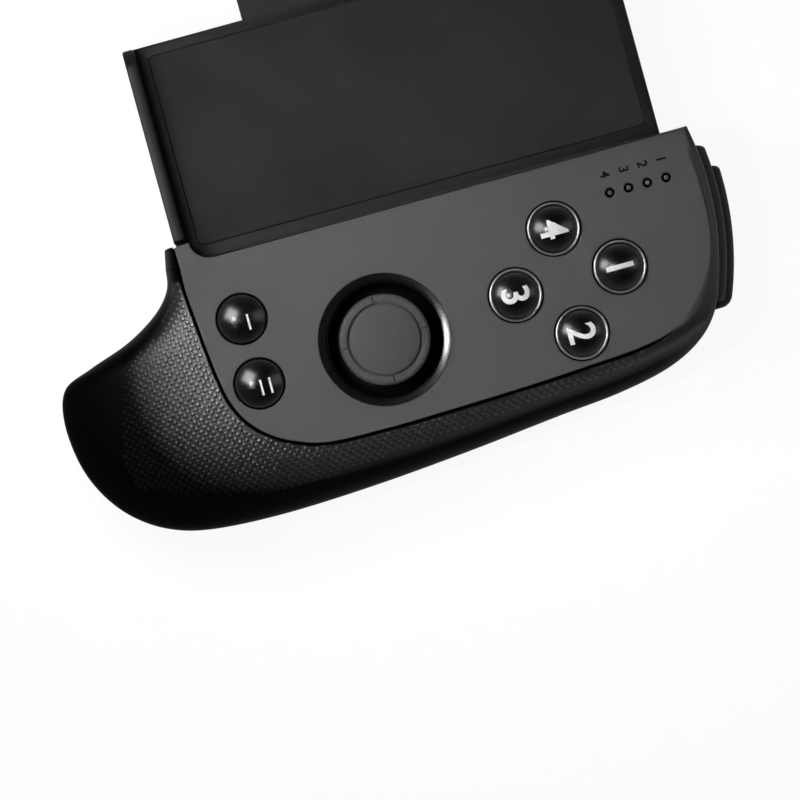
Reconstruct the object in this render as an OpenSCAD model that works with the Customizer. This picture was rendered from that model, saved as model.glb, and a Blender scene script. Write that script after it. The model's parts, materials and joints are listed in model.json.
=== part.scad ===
// Game controller for one hand that carries a phone between its body and a sliding clamp.
// Millimetres. Origin: middle of the end stop that the phone's end bears on.
// +X points to the shoulder buttons, +Y along the phone, +Z out of the control face.

/* [Case] */
// Height of the control face above the origin
face_z = 4.6; // [4.4:0.1:5.4]
// Depth of the belly below the origin
belly_depth = 18; // [17.5:0.5:22]
// Wall thickness of both shells
wall = 2; // [1.6:0.1:2.4]
// Thickness of the faceplate
faceplate_t = 2; // [1.6:0.1:2.2]
// How far the faceplate stands above the shell's rim
face_proud = 0.2; // [0.1:0.05:0.4]
// Gap round the faceplate
face_gap = 0.25; // [0.15:0.05:0.35]
// Width of the shell's rim on the phone side
rim_w = 0.9; // [0.7:0.1:1.2]
// Width of the ledge that carries the faceplate
ledge_w = 1.6; // [1.2:0.1:2]
// Thickness of that ledge
ledge_t = 1.4; // [1:0.1:1.6]
// Reach of the ear past the end stop
ear_reach = 2.5; // [2.2:0.1:2.8]
// Radius of the hollow beside the ear
ear_r = 3; // [2.8:0.1:3.4]
// Distance of the short end from the middle
short_end = 41; // [41:0.1:41.5]
// Radius of the short end that carries the shoulder buttons
side_r = 45; // [42:0.5:48]

/* [Thumbstick] */
// Distance of the thumbstick's axis from the middle, towards the handle
stick_back = 12.4; // [12:0.1:13]
// Distance of the thumbstick's axis below the end stop
stick_drop = 19.4; // [19:0.1:20]
// Diameter of the rubber cap
cap_d = 13.8; // [12:0.1:14.4]
// Thickness of the cap's rim
cap_t = 2; // [1.6:0.1:2.6]
// Height of the cap's underside above the face
cap_rise = 3.5; // [3.4:0.1:4.5]
// Rise of the cap's crown above its rim
cap_crown = 0.4; // [0.2:0.1:0.6]
// Diameter of the bowl round the stick
bowl_d = 19.8; // [19.4:0.1:20.4]
// Depth of the bowl below the face
bowl_depth = 4; // [3.6:0.1:4.4]
// Depth of the tilt axes below the face
pivot_depth = 10.6; // [10.4:0.1:11]
// Outer radius of the dust dome
dome_r = 10; // [9.8:0.1:10.1]
// Diameter of the stick's shaft
shaft_d = 2; // [1.6:0.1:2.2]
// Width of the stick module's housing
housing_w = 11.4; // [11:0.1:11.6]

/* [Buttons] */
// Diameter of a face button's dome
face_button_d = 7.1; // [6.4:0.1:7.4]
// Width of the plated ring
ring_w = 0.4; // [0.3:0.05:0.5]
// Distance of each face button from the middle of the four
face_pitch_r = 8.15; // [8:0.05:8.6]
// Middle of the four face buttons, towards the shoulder
face_mid_x = 16.55; // [16:0.05:17]
// Middle of the four face buttons, below the end stop
face_mid_drop = 18.15; // [17.5:0.05:18.8]
// Height of a face button's crown above the face
face_crown = 1.8; // [1.6:0.1:2.4]
// Travel of a face button
face_travel = 1.2; // [0.8:0.1:1.4]
// Diameter of a menu button
menu_button_d = 7.4; // [6.6:0.1:7.6]
// Distance of the menu buttons from the middle, towards the handle
menu_back = 32.4; // [32:0.1:32.8]
// Distance between the two menu buttons
menu_pitch = 10.1; // [10:0.1:11]
// Middle of the menu buttons below the end stop
menu_drop = 15.75; // [15.5:0.05:16.2]
// Height of a menu button's crown above the face
menu_crown = 1.4; // [1.2:0.1:2]
// Travel of a menu button
menu_travel = 0.8; // [0.5:0.1:1]
// Clearance between a button and its hole
button_gap = 0.25; // [0.2:0.05:0.35]
// Room between the faceplate and the main board
button_room = 4; // [3.8:0.1:4.4]
// Diameter of a light lens
lens_d = 1.4; // [1.2:0.1:1.6]
// Distance between the light lenses
lens_pitch = 2.93; // [2.7:0.01:3]

/* [Shoulder] */
// How far the shoulder button stands out of the short end
shoulder_out = 1.2; // [1:0.1:1.5]
// How far the trigger stands out of the short end
trigger_out = 2.4; // [2.2:0.1:2.8]
// Height of the shoulder button
shoulder_h = 5.2; // [4.8:0.1:5.4]
// Height of the trigger
trigger_h = 8.8; // [8:0.1:9]
// Diameter of the two pivot pins
pin_d = 2; // [1.8:0.1:2.2]

/* [Phone tray] */
// Depth of the phone's seat below the origin
seat_drop = 4; // [3.6:0.1:4.2]
// Width of the tray towards the shoulder buttons
tray_right = 36; // [35.6:0.1:36.4]
// Width of the tray towards the handle, to the ledge's outer face
tray_left = 39.3; // [39:0.1:39.6]
// Length of the tray
tray_l = 33; // [30:0.5:36]
// Thickness of the ledge
ledge_wall = 1.8; // [1.5:0.1:2.2]
// Height of the ledge above the seat
ledge_h = 6; // [4:0.1:7]
// Thickness of the soft pad in the tray's floor
pad_t = 1; // [0.8:0.1:1.1]
// Length of the arm that carries the slider
arm_l = 66; // [60:0.5:72]

/* [Clamp] */
// Distance between the end stop and the closed jaw
clamp_min = 110; // [104:0.5:116]
// Travel of the clamp
clamp_travel = 56; // [48:0.5:58]
// Width of the slider
slider_w = 34; // [32:0.1:35]
// Thickness of the slider
slider_t = 2.4; // [2.2:0.1:2.6]
// Width of the jaw
jaw_w = 40; // [36:0.5:44]
// Thickness of the soft pads on the jaw and the end stop
grip_pad_t = 1.2; // [1:0.1:1.4]

/* [Hidden] */
$fn = 64;
eps = 0.5;
seat_gap = 0.2;
run_gap = 0.05;
press_gap = 0.02;

// Levels, from the face down
plate_z = face_z - faceplate_t;
rim_z = face_z - face_proud;
board_t = 1.6;
board_top = plate_z - button_room;
board_z = board_top - board_t;
seat_z = -seat_drop;
part_z = seat_z - seat_gap;
belly_z = -belly_depth;
floor_z = belly_z + wall;
chassis_t = 1.4;
chassis_z = floor_z + chassis_t;
end_y = -0.3;
lip_y = end_y - rim_w;

// The handle's outline and the faceplate's opening, walked the same way from the ear to the shoulder
side_mid = [short_end - side_r, -9.5];
function side_x(y, r) = side_mid[0] + sqrt(r * r - pow(y - side_mid[1], 2));
body_path = [
    [-41.6, end_y], [-42.3, -3.5], [-45, -6.6], [-50, -9.6], [-56.5, -11.9], [-61, -13.9],
    [-62.5, -18.5], [-62, -25], [-60, -30.4], [-56.5, -35], [-51.5, -38.4], [-45, -40.2],
    [-34, -40.8], [-20, -40.3], [-5, -39.1], [10, -37.5], [20, -36.5], [28, -34.8],
    [33.5, -32], [side_x(-28, side_r), -28], [side_x(-22.5, side_r), -22.5],
    [side_x(-16, side_r), -16], [side_x(-9.5, side_r), -9.5], [side_x(-5, side_r), -5],
    [side_x(end_y, side_r), end_y]
];
face_r = side_r - 1;
face_path = [
    [-39.8, lip_y], [-39.9, -3.5], [-39.8, -5.8], [-39.6, -8.2], [-39.4, -10.6], [-39.2, -13],
    [-38.9, -15.8], [-38.5, -19], [-37.8, -22.4], [-36.2, -25.8], [-33.4, -28.8], [-29.6, -31],
    [-24.4, -32.5], [-15, -32.8], [-4, -32.6], [8, -32.2], [17, -31.7], [24.5, -31.1],
    [30.2, -29.6], [34.6, -26.6], [side_x(-21.8, face_r), -21.8], [side_x(-15.8, face_r), -15.8],
    [side_x(-9.5, face_r), -9.5], [side_x(-5, face_r), -5], [side_x(lip_y, face_r), lip_y]
];
span_steps = 3;
roll_steps = 5;
belly_mid = [25, end_y];
belly_share = [0.86, 0.88];

function blend(a, b, c, d, t) = 0.5 * (2 * b + (c - a) * t + (2 * a - 5 * b + 4 * c - d) * t * t
    + (3 * b - a - 3 * c + d) * t * t * t);
function at(path, i) = path[max(0, min(len(path) - 1, i))];
function curve(path) = [
    for (i = [0 : len(path) - 2]) for (s = [0 : span_steps - 1])
        blend(at(path, i - 1), path[i], path[i + 1], at(path, i + 2), s / span_steps),
    path[len(path) - 1]
];
function unit(v) = v / norm(v);
// Moves an outline inwards, and draws its straight phone side back by the same amount
function inset(pts, by) = [
    for (i = [0 : len(pts) - 1])
        let (d = unit(at(pts, i + 1) - at(pts, i - 1)), end = i == 0 || i == len(pts) - 1)
        let (n = end ? [i == 0 ? 1 : -1, 0] : [-d[1], d[0]], fade = 4 * max(by, wall))
        pts[i] + by * n - [0, by * max(0, 1 - (pts[0][1] - pts[i][1]) / fade)]
];
function raise(pts, z) = [for (p = pts) [p[0], p[1], z]];
function mix(a, b, k) = [for (i = [0 : len(a) - 1]) a[i] + (b[i] - a[i]) * k];
function belly(pts) = [
    for (p = pts) [
        belly_mid[0] + (p[0] - belly_mid[0]) * belly_share[0],
        pts[0][1] + (p[1] - pts[0][1]) * belly_share[1]
    ]
];
body_out = curve(body_path);
body_in = inset(body_out, wall);
face_out = curve(face_path);
face_in = inset(face_out, ledge_w);
ledge_z = plate_z - ledge_t;

// Bands of triangles between rings of points
function band(r, s, n) = [
    for (i = [0 : n - 1]) let (j = (i + 1) % n)
        each [[r * n + i, r * n + j, s * n + j], [r * n + i, s * n + j, s * n + i]]
];
// A flat cap across a ring, in strips from its left run to its right run
function cap(r, n, up) = [
    for (j = [0 : floor(n / 2) - 1]) let (a = r * n + j, b = a + 1, d = r * n + n - 1 - j, c = d - 1)
        each concat(b < d ? [up ? [d, b, a] : [a, b, d]] : [],
            b < c ? [up ? [d, c, b] : [b, c, d]] : [])
];
module ring_solid(rings) {
    n = len(rings[0]);
    k = len(rings);
    polyhedron([for (r = rings) each r], [for (r = [0 : k - 1]) each band(r, (r + 1) % k, n)]);
}
module cup_solid(rings) {
    n = len(rings[0]);
    k = len(rings);
    polyhedron(
        [for (r = rings) each r],
        concat([for (r = [0 : k - 2]) each band(r, r + 1, n)], cap(0, n, true), cap(k - 1, n, false)));
}
function roll(i) = 90 * i / roll_steps;
front_rings = [
    for (i = [0 : roll_steps]) raise(mix(face_out, body_out, sin(roll(i))),
        rim_z - (rim_z - part_z) * (1 - cos(roll(i)))),
    for (i = [roll_steps : -1 : 0]) raise(mix(face_in, body_in, sin(roll(i))),
        ledge_z - (ledge_z - part_z) * (1 - cos(roll(i)))),
    raise(face_in, plate_z),
    raise(face_out, plate_z)
];
rear_rings = [
    for (i = [roll_steps : -1 : 0]) raise(mix(belly(body_in), body_in, cos(roll(i))),
        part_z - (part_z - floor_z) * sin(roll(i))),
    for (i = [0 : roll_steps]) raise(mix(belly(body_out), body_out, cos(roll(i))),
        part_z - (part_z - belly_z) * sin(roll(i)))
];

// Places on the face
stick_at = [-stick_back, -stick_drop];
face_mid = [face_mid_x, -face_mid_drop];
face_turns = [0, 90, 180, 270];
function face_at(turn) = face_mid + face_pitch_r * [cos(turn), sin(turn)];
face_flange_r = face_button_d / 2 + 1.1;
menu_flange_r = menu_button_d / 2 + 0.8;
menu_sides = [1, -1];
function menu_at(side) = [-menu_back, -menu_drop + side * menu_pitch / 2];
lens_y = -7;
lens_first = short_end - 14.8;
lens_count = 4;
function lens_at(i) = [lens_first + i * lens_pitch, lens_y];
posts = [[-25.5, -5.8], [-26, -27.5], [22.5, -5.8], [2, -28.5], [28.2, -24.9]];
post_r = 2.8;
boss_r = 2.5;
screw_r = 1;
screw_head_r = 1.9;
screw_head_t = 1.2;

// Thumbstick
pivot_z = face_z - pivot_depth;
bowl_r = bowl_d / 2;
bowl_round = 1;
bowl_wall = 0.9;
bowl_floor_t = 1;
bowl_floor_z = face_z - bowl_depth;
dome_t = 0.8;
dome_gap = 0.3;
dome_reach = 69;
housing_wall = 1;
housing_h = 8.4;
housing_low = 5;
housing_z = pivot_z - housing_low;
gimbal_w = housing_w - 2 * housing_wall - 1;
gimbal_wall = 1.4;
gimbal_t = 2;
axle_r = 1;
hub_w = 4;
hub_h = 3.4;
hub_axle_r = 0.8;
click_gap = 0.5;
shaft_low = 3;
lower_board_t = 1.2;
lower_board_z = housing_z - lower_board_t;
cap_z = face_z + cap_rise;
stem_r = 3;

// Pieces inside the case
chassis_path = [
    [-33, -9], [-34, -28], [-28, -32], [23.5, -29], [short_end - 10.5, -25], [short_end - 7.6, -20],
    [short_end - 7.6, -6], [26, -3], [-28.5, -3.4]
];
pillar_off = [-6.9, 6.9];
pillar_r = 1;
board_clear = 0.8;
board_low = -30.6;
board_top_y = -3.3;
board_right = [
    [short_end - 4, board_top_y], [short_end - 4, -9.2], [short_end - 10, -9.2], [short_end - 10, -29],
    [24, -30.4]
];
board_left = [[-31, -29.2], [-36.4, -24], [-37, board_top_y]];
lower_board_half = 8;
lower_board_low = -34.4;
battery_x = [6.5, 24.5];
battery_y = [-29.6, -11];
battery_t = 5;

// Charging socket in the case's lower side
socket_x = -12.4;
socket_w = 8.9;
socket_h = 3.2;
socket_wall = 0.3;
socket_l = 7.5;
socket_y = -38.6;

// Shoulder button, trigger and their window
window_gap = 0.5;
window_top = plate_z - 0.6;
window_x = short_end - 7.4;
shoulder_t = 3.2;
shoulder_top = window_top - 0.3;
shoulder_z = shoulder_top - shoulder_h;
shoulder_y = [-27.1, -3.2];
shoulder_pivot = [short_end - 7.8, -24.8];
shoulder_boss_r = 2.2;
shoulder_boss_top = ledge_z - 1;
trigger_t = 2.2;
trigger_top = shoulder_z - 1.2;
trigger_z = trigger_top - trigger_h;
trigger_y = [-28.2, -7];
trigger_drop = 1.4;
trigger_pivot = [short_end - 3, trigger_top - 2.2];
trigger_boss_r = 2.2;
trigger_arms = [-21, -10.5];
arm_t = 2;
lug_r = 1.5;
lug_t = 1.6;
pin_land = 1.6;
bracket_x = [short_end - 9.4, short_end - 7.6];
shelf_t = 0.8;
switch_size = [2.8, 4, 3.8];
switch_at = [short_end - 6.8, -14.3];
plunger_l = 0.8;

// Phone tray and clamp
tray_gap = 0.2;
channel_gap = 0.3;
channel_lift = 0.2;
roof_t = 1;
cover_t = 1.2;
pad_bed_z = seat_z - pad_t;
channel_top = pad_bed_z - roof_t;
slider_top = channel_top - channel_lift;
slider_z = slider_top - slider_t;
channel_z = slider_z - channel_lift;
cover_z = channel_z - cover_t;
channel_w = slider_w + 2 * channel_gap;
arm_wall = 3.2;
arm_w = channel_w + 2 * arm_wall;
flange_y = -9.2;
flange_x = [-36.8, 34.8];
channel_y = -7;
slider_y = -6;
pad_margin = 1.6;
stop_r = 1.2;
stop_back = 5.5;
stop_room = 0.3;
spring_x = 9;
spring_slot_w = 3.2;
spring_end = 40;
spring_coil_r = 0.85;
spring_wire_r = 0.2;
spring_turns = 24;
jaw_t = 5;
jaw_lip_t = 1.3;
jaw_lip_reach = 1.6;
jaw_foot = 9;
jaw_lip_z = face_z + 0.1;
jaw_y = clamp_min + grip_pad_t;
end_pad_w = 64;
end_pad_h = 4.8;
small_screw_r = 0.8;
small_head_r = 1.4;
small_head_t = 0.7;
tray_screws_at = [
    [-30, 8], [-30, 26], [28, 8], [28, 26], [-arm_w / 2 + 1.6, arm_l - 6], [arm_w / 2 - 1.6, arm_l - 6]
];
jaw_screw_x = 10;
jaw_screw_l = 4.6;
jaw_screws_at = [[-jaw_screw_x, jaw_y + jaw_t / 2], [jaw_screw_x, jaw_y + jaw_t / 2]];

// Coil of round wire along Y
ring_steps = 8;
wire_sides = 6;
function coil_point(turn, side, coil_r, wire_r, pitch) =
    let (a = 360 * turn, s = 360 * side / wire_sides, out = [cos(a), 0, sin(a)])
    let (along = unit([-coil_r * sin(a), pitch / (2 * PI), coil_r * cos(a)]))
    coil_r * out + [0, pitch * turn, 0] + wire_r * (cos(s) * out + sin(s) * cross(along, out));
module coil(turns, coil_r, wire_r, length) {
    pitch = (length - 2 * wire_r) / turns;
    rings = turns * ring_steps;
    n = wire_sides;
    polyhedron(
        [for (r = [0 : rings]) for (s = [0 : n - 1]) coil_point(r / ring_steps, s, coil_r, wire_r, pitch)],
        concat([for (r = [0 : rings - 1]) each band(r, r + 1, n)], cap(0, n, true), cap(rings, n, false)));
}

module at_xy(p) { translate([p[0], p[1], 0]) children(); }
module post(p, r, low, high) { translate([p[0], p[1], low]) cylinder(r = r, h = high - low); }
module block(x, y, z) { translate([x[0], y[0], z[0]]) cube([x[1] - x[0], y[1] - y[0], z[1] - z[0]]); }
module pin_y(x, z, r, y) { translate([x, y[0], z]) rotate([-90, 0, 0]) cylinder(r = r, h = y[1] - y[0]); }
module pin_x(y, z, r, x) { translate([x[0], y, z]) rotate([0, 90, 0]) cylinder(r = r, h = x[1] - x[0]); }

// The ear is the corner beside the phone. A hollow of ear_r leads from it to the end stop.
ear_left = -37.1;
module ear_outline(left, grow) {
    difference() {
        polygon([[left, end_y - wall], [left, end_y], [left + 0.6, ear_reach + min(0, grow)],
            [ear_left + ear_r + grow, ear_reach + min(0, grow)], [ear_left + ear_r + grow, end_y - wall]]);
        translate([ear_left + ear_r, ear_reach]) circle(r = ear_r - grow);
    }
}
module shoulder_window() {
    split = trigger_top + window_gap;
    x = [window_x, short_end + 6];
    block(x, [shoulder_y[0] - window_gap, shoulder_y[1] + window_gap], [split - eps, window_top]);
    block(x, [trigger_y[0] - window_gap, trigger_y[1] + window_gap], [trigger_z - trigger_drop, split]);
}
module front_shell() {
    color("#1b1b1d") difference() {
        union() {
            ring_solid(front_rings);
            translate([0, 0, part_z]) linear_extrude(rim_z - part_z) ear_outline(body_path[0][0], 0);
        }
        shoulder_window();
        translate([0, 0, plate_z]) linear_extrude(faceplate_t) ear_outline(face_path[0][0], face_gap);
        block([-end_pad_w / 2, end_pad_w / 2], [-grip_pad_t, eps], [-end_pad_h / 2, end_pad_h / 2]);
        for (t = face_turns) post(face_at(t), face_flange_r + button_gap, ledge_z - eps, plate_z);
        for (s = menu_sides) post(menu_at(s), menu_flange_r + button_gap, ledge_z - eps, plate_z);
    }
}
module socket_slot(grow) {
    half = (socket_w - socket_h) / 2;
    r = socket_h / 2 + grow;
    square([2 * half, 2 * r], center = true);
    for (s = [-1, 1]) translate([s * half, 0]) circle(r = r);
}
module socket_place(y) {
    translate([socket_x, y, housing_z + socket_h / 2]) rotate([-90, 0, 0]) children();
}
module rear_shell() {
    color("#18181a") difference() {
        cup_solid(rear_rings);
        shoulder_window();
        block([flange_x[0] - tray_gap, flange_x[1] + tray_gap], [end_y - wall - eps, eps],
            [cover_z - tray_gap, part_z + eps]);
        socket_place(socket_y - 3) linear_extrude(6) socket_slot(tray_gap);
        for (p = posts) {
            post(p, screw_r + seat_gap, belly_z - eps, floor_z + eps);
            post(p, screw_head_r + seat_gap, belly_z - eps, belly_z + screw_head_t + 0.1);
        }
    }
}
module button_holes() {
    for (t = face_turns) at_xy(face_at(t)) circle(r = face_button_d / 2 + run_gap + ring_w + button_gap);
    for (s = menu_sides) at_xy(menu_at(s)) circle(r = menu_button_d / 2 + button_gap);
    for (i = [0 : lens_count - 1]) at_xy(lens_at(i)) circle(r = lens_d / 2 + run_gap);
    at_xy(stick_at) circle(r = bowl_r + bowl_round - bowl_wall + run_gap);
}
module faceplate() {
    color("#4d4d4f") difference() {
        union() {
            translate([0, 0, plate_z]) linear_extrude(faceplate_t) difference() {
                union() {
                    polygon(inset(face_out, face_gap));
                    ear_outline(face_path[0][0] + face_gap, 0);
                }
                button_holes();
            }
            for (p = posts) post(p, boss_r, board_top, plate_z);
        }
        for (p = posts) post(p, screw_r + run_gap, board_top - eps, plate_z);
    }
}
module chassis() {
    color("#3a3a3c") difference() {
        union() {
            translate([0, 0, floor_z]) linear_extrude(chassis_t) polygon(chassis_path);
            for (p = posts) post(p, post_r, floor_z, board_z);
            for (x = pillar_off, y = pillar_off) post(stick_at + [x, y], pillar_r, floor_z, lower_board_z);
        }
        for (p = posts) post(p, screw_r + seat_gap, floor_z - eps, board_z + eps);
    }
}
module main_board() {
    open_x = [stick_at[0] - dome_r - board_clear, stick_at[0] + dome_r + board_clear];
    open_y = stick_at[1] + dome_r + seat_gap;
    color("#1f4a32") translate([0, 0, board_z]) linear_extrude(board_t) difference() {
        polygon(concat(board_right, [[open_x[1], board_low], [open_x[1], open_y], [open_x[0], open_y],
            [open_x[0], board_low]], board_left));
        for (p = posts) at_xy(p) circle(r = screw_r + seat_gap);
    }
}
module lower_board() {
    color("#1f4a32") block(
        [stick_at[0] - lower_board_half, stick_at[0] + lower_board_half],
        [lower_board_low, stick_at[1] + lower_board_half], [lower_board_z, housing_z]);
}
module battery() {
    color("#b9bcc0") block(battery_x, battery_y, [chassis_z, chassis_z + battery_t]);
}
module charge_socket() {
    color("#c9c9cb") union() {
        socket_place(socket_y) linear_extrude(socket_l) difference() {
            socket_slot(0);
            socket_slot(-socket_wall);
        }
        socket_place(socket_y + socket_l - 1) linear_extrude(1) socket_slot(0);
        socket_place(socket_y + 1.2) linear_extrude(socket_l - 1.2) square([6.6, 0.7], center = true);
    }
}
module case_screws() {
    color("#2b2b2d") for (p = posts) {
        post(p, screw_head_r, belly_z + 0.1, belly_z + 0.1 + screw_head_t);
        post(p, screw_r, belly_z + screw_head_t, plate_z - 0.4);
    }
}

arc_steps = 8;
function arc(mid, r, from, to) = [
    for (i = [0 : arc_steps]) let (a = from + (to - from) * i / arc_steps) mid + r * [cos(a), sin(a)]
];
module stick_bowl() {
    outer = bowl_r + bowl_round - bowl_wall;
    mouth = bowl_r - bowl_wall + 0.2;
    low = bowl_floor_z - bowl_floor_t;
    throat = sqrt(pow(dome_r, 2) - pow(low - pivot_z, 2)) + dome_gap;
    color("#111112") at_xy(stick_at) rotate_extrude() polygon(concat(
        arc([outer, face_z - bowl_round], bowl_round, 90, 180),
        [[mouth, bowl_floor_z + 0.6], [throat, bowl_floor_z], [throat, low], [outer + 0.6, low],
        [outer + 0.6, plate_z - run_gap], [outer, plate_z - run_gap]]));
}
module stick_housing() {
    w = housing_w / 2;
    i = w - housing_wall;
    top = housing_z + housing_h;
    color("#77797c") at_xy(stick_at) difference() {
        block([-w, w], [-w, w], [housing_z, top]);
        block([-i, i], [-i, i], [housing_z + housing_wall, top - housing_wall]);
        post([0, 0], w - 2 * housing_wall, top - 2 * housing_wall, top + eps);
        pin_x(0, pivot_z, axle_r + run_gap, [-w - eps, w + eps]);
    }
}
module gimbal_ring() {
    w = gimbal_w / 2;
    i = w - gimbal_wall;
    color("#d8d8d6") at_xy(stick_at) difference() {
        union() {
            block([-w, w], [-w, w], [pivot_z - gimbal_t / 2, pivot_z + gimbal_t / 2]);
            pin_x(0, pivot_z, axle_r, [-housing_w / 2 + seat_gap, housing_w / 2 - seat_gap]);
        }
        block([-i, i], [-i, i], [pivot_z - gimbal_t, pivot_z + gimbal_t]);
        pin_y(0, pivot_z, hub_axle_r + run_gap, [-w - eps, w + eps]);
    }
}
module stick_hub() {
    w = hub_w / 2;
    color("#e8e6df") at_xy(stick_at) difference() {
        union() {
            block([-w, w], [-w, w], [pivot_z - hub_h / 2, pivot_z + hub_h / 2]);
            pin_y(0, pivot_z, hub_axle_r, [-gimbal_w / 2 + seat_gap, gimbal_w / 2 - seat_gap]);
        }
        post([0, 0], shaft_d / 2 + run_gap, pivot_z - hub_h, pivot_z + hub_h);
    }
}
module stick_shaft() {
    color("#c2c4c6") post(stick_at, shaft_d / 2, pivot_z - shaft_low, cap_z + cap_t / 2);
}
module stick_dome() {
    in_r = dome_r - dome_t;
    color("#141415") translate([stick_at[0], stick_at[1], pivot_z]) difference() {
        rotate_extrude() polygon(concat(
            [for (i = [0 : 16]) dome_r * [sin(dome_reach * i / 16), cos(dome_reach * i / 16)]],
            [for (i = [16 : -1 : 0]) in_r * [sin(dome_reach * i / 16), cos(dome_reach * i / 16)]]));
        cylinder(r = shaft_d / 2 + press_gap, h = dome_r + 1);
    }
}
module stick_cap() {
    r = cap_d / 2;
    edge = min(0.6, (cap_t - cap_crown) / 2 - run_gap);
    crown_r = r - 1.5;
    rim_top = cap_z + cap_t - cap_crown;
    groove_z = rim_top - 0.3;
    ball = (pow(crown_r, 2) + pow(cap_crown, 2)) / (2 * cap_crown);
    color("#454547") translate([stick_at[0], stick_at[1], 0]) difference() {
        rotate_extrude() polygon(concat(
            [[0, pivot_z + dome_r + run_gap], [stem_r, pivot_z + dome_r + run_gap], [stem_r, cap_z]],
            arc([r - edge, cap_z + edge], edge, -90, 0),
            arc([r - edge, rim_top - edge], edge, 0, 90),
            [[crown_r + 0.3, rim_top], [crown_r + 0.3, groove_z], [crown_r, groove_z]],
            arc([0, cap_z + cap_t - ball], ball, 90 - asin(crown_r / ball), 90)));
        post([0, 0], shaft_d / 2 + press_gap, pivot_z, cap_z + cap_t / 2 + press_gap);
    }
}
module click_switch() {
    low = housing_z + housing_wall;
    high = pivot_z - shaft_low - click_gap;
    color("#2a2a2c") at_xy(stick_at) {
        block([-2.2, 2.2], [-2.2, 2.2], [low, low + (high - low) / 2]);
        post([0, 0], 1.4, low, high);
    }
}

// A round button: domed cap, a flange that stops it under the faceplate
module round_button(d, crown, edge, flange_r) {
    r = d / 2;
    rise = crown - edge;
    ball = (r * r + rise * rise) / (2 * rise);
    flange_top = plate_z - 0.15;
    intersection() {
        post([0, 0], r, flange_top - 1.5, face_z + crown);
        translate([0, 0, face_z + crown - ball]) sphere(r = ball);
    }
    post([0, 0], flange_r, flange_top - 1.5, flange_top);
}
module rubber_dome(foot_r, top_r) {
    high = plate_z - 0.15 - 1.5 - run_gap;
    skin = 0.6;
    difference() {
        translate([0, 0, board_top]) cylinder(r1 = foot_r, r2 = top_r, h = high - board_top);
        translate([0, 0, board_top - run_gap]) cylinder(r1 = foot_r - skin, r2 = top_r - skin,
            h = high - board_top - skin);
    }
}
module face_button(turn) {
    color("#0e0e10") at_xy(face_at(turn)) round_button(face_button_d, face_crown, 0.7, face_flange_r);
}
module face_ring(turn) {
    low = plate_z - 0.15;
    r = face_button_d / 2 + run_gap;
    color("#b4b6b8") at_xy(face_at(turn)) difference() {
        post([0, 0], r + ring_w, low, face_z + 0.6);
        post([0, 0], r, low - eps, face_z + 1);
    }
}
module face_dome(turn) { color("#8d8d8a") at_xy(face_at(turn)) rubber_dome(4.2, 2.4); }
module menu_button(side) {
    color("#0e0e10") at_xy(menu_at(side)) round_button(menu_button_d, menu_crown, 0.4, menu_flange_r);
}
module menu_dome(side) { color("#8d8d8a") at_xy(menu_at(side)) rubber_dome(4, 2.2); }
module light_lenses() {
    color("#8f9194") for (i = [0 : lens_count - 1])
        post(lens_at(i), lens_d / 2, board_top + 1.1, face_z + 0.05);
}
module light_chips() {
    color("#e9e4c8") for (i = [0 : lens_count - 1]) at_xy(lens_at(i))
        block([-0.8, 0.8], [-0.8, 0.8], [board_top, board_top + 0.8]);
}

module side_band(r, t, y, z) {
    intersection() {
        at_xy(side_mid) difference() {
            post([0, 0], r, z[0], z[1]);
            post([0, 0], r - t, z[0] - eps, z[1] + eps);
        }
        block([bracket_x[0], short_end + side_r], y, z);
    }
}
module shoulder_button() {
    color("#121214") difference() {
        union() {
            side_band(side_r + shoulder_out, shoulder_t, shoulder_y, [shoulder_z, shoulder_top]);
            post(shoulder_pivot, shoulder_boss_r, shoulder_z, shoulder_boss_top);
            block([shoulder_pivot[0], side_x(shoulder_pivot[1], side_r + shoulder_out - shoulder_t) + 0.6],
                [shoulder_pivot[1] - shoulder_boss_r, shoulder_pivot[1] + shoulder_boss_r],
                [shoulder_z, shoulder_boss_top]);
        }
        post(shoulder_pivot, pin_d / 2 + run_gap, shoulder_z - eps, shoulder_top + eps);
    }
}
bracket_top = shoulder_z - 0.6;
pin_seat = 2.6;
module shoulder_pin() {
    color("#c6c8ca") {
        post(shoulder_pivot, pin_d / 2, bracket_top - pin_seat, shoulder_boss_top + 0.2);
        post(shoulder_pivot, pin_d / 2 + 0.6, shoulder_boss_top + 0.1, shoulder_boss_top + 0.6);
    }
}
module shoulder_switch() {
    low = bracket_top + shelf_t;
    color("#2a2a2c") translate([switch_at[0], switch_at[1], low]) {
        cube(switch_size);
        pin_x(switch_size[1] / 2, switch_size[2] / 2, 1,
            [switch_size[0] - 0.2, switch_size[0] + plunger_l]);
    }
}
module trigger_arm(y) {
    reach = side_x(y, side_r + trigger_out - trigger_t) + 0.6;
    pin_y(trigger_pivot[0], trigger_pivot[1], trigger_boss_r, [y - arm_t / 2, y + arm_t / 2]);
    block([trigger_pivot[0], reach], [y - arm_t / 2, y + arm_t / 2],
        [trigger_pivot[1] - trigger_boss_r, trigger_pivot[1] + trigger_boss_r]);
}
module trigger() {
    color("#101012") difference() {
        union() {
            side_band(side_r + trigger_out, trigger_t, trigger_y, [trigger_z, trigger_top]);
            for (y = trigger_arms) trigger_arm(y);
        }
        pin_y(trigger_pivot[0], trigger_pivot[1], pin_d / 2 + run_gap,
            [trigger_arms[0] - arm_t / 2 - eps, trigger_arms[1] + arm_t / 2 + eps]);
    }
}
lug_low = [trigger_arms[0] + arm_t / 2 + 0.3, trigger_arms[0] + arm_t / 2 + 0.3 + lug_t];
lug_high = [trigger_arms[1] - arm_t / 2 - 0.3 - lug_t, trigger_arms[1] - arm_t / 2 - 0.3];
module trigger_pin() {
    color("#c6c8ca") pin_y(trigger_pivot[0], trigger_pivot[1], pin_d / 2,
        [trigger_arms[0] - arm_t / 2, trigger_arms[1] + arm_t / 2]);
}
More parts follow.
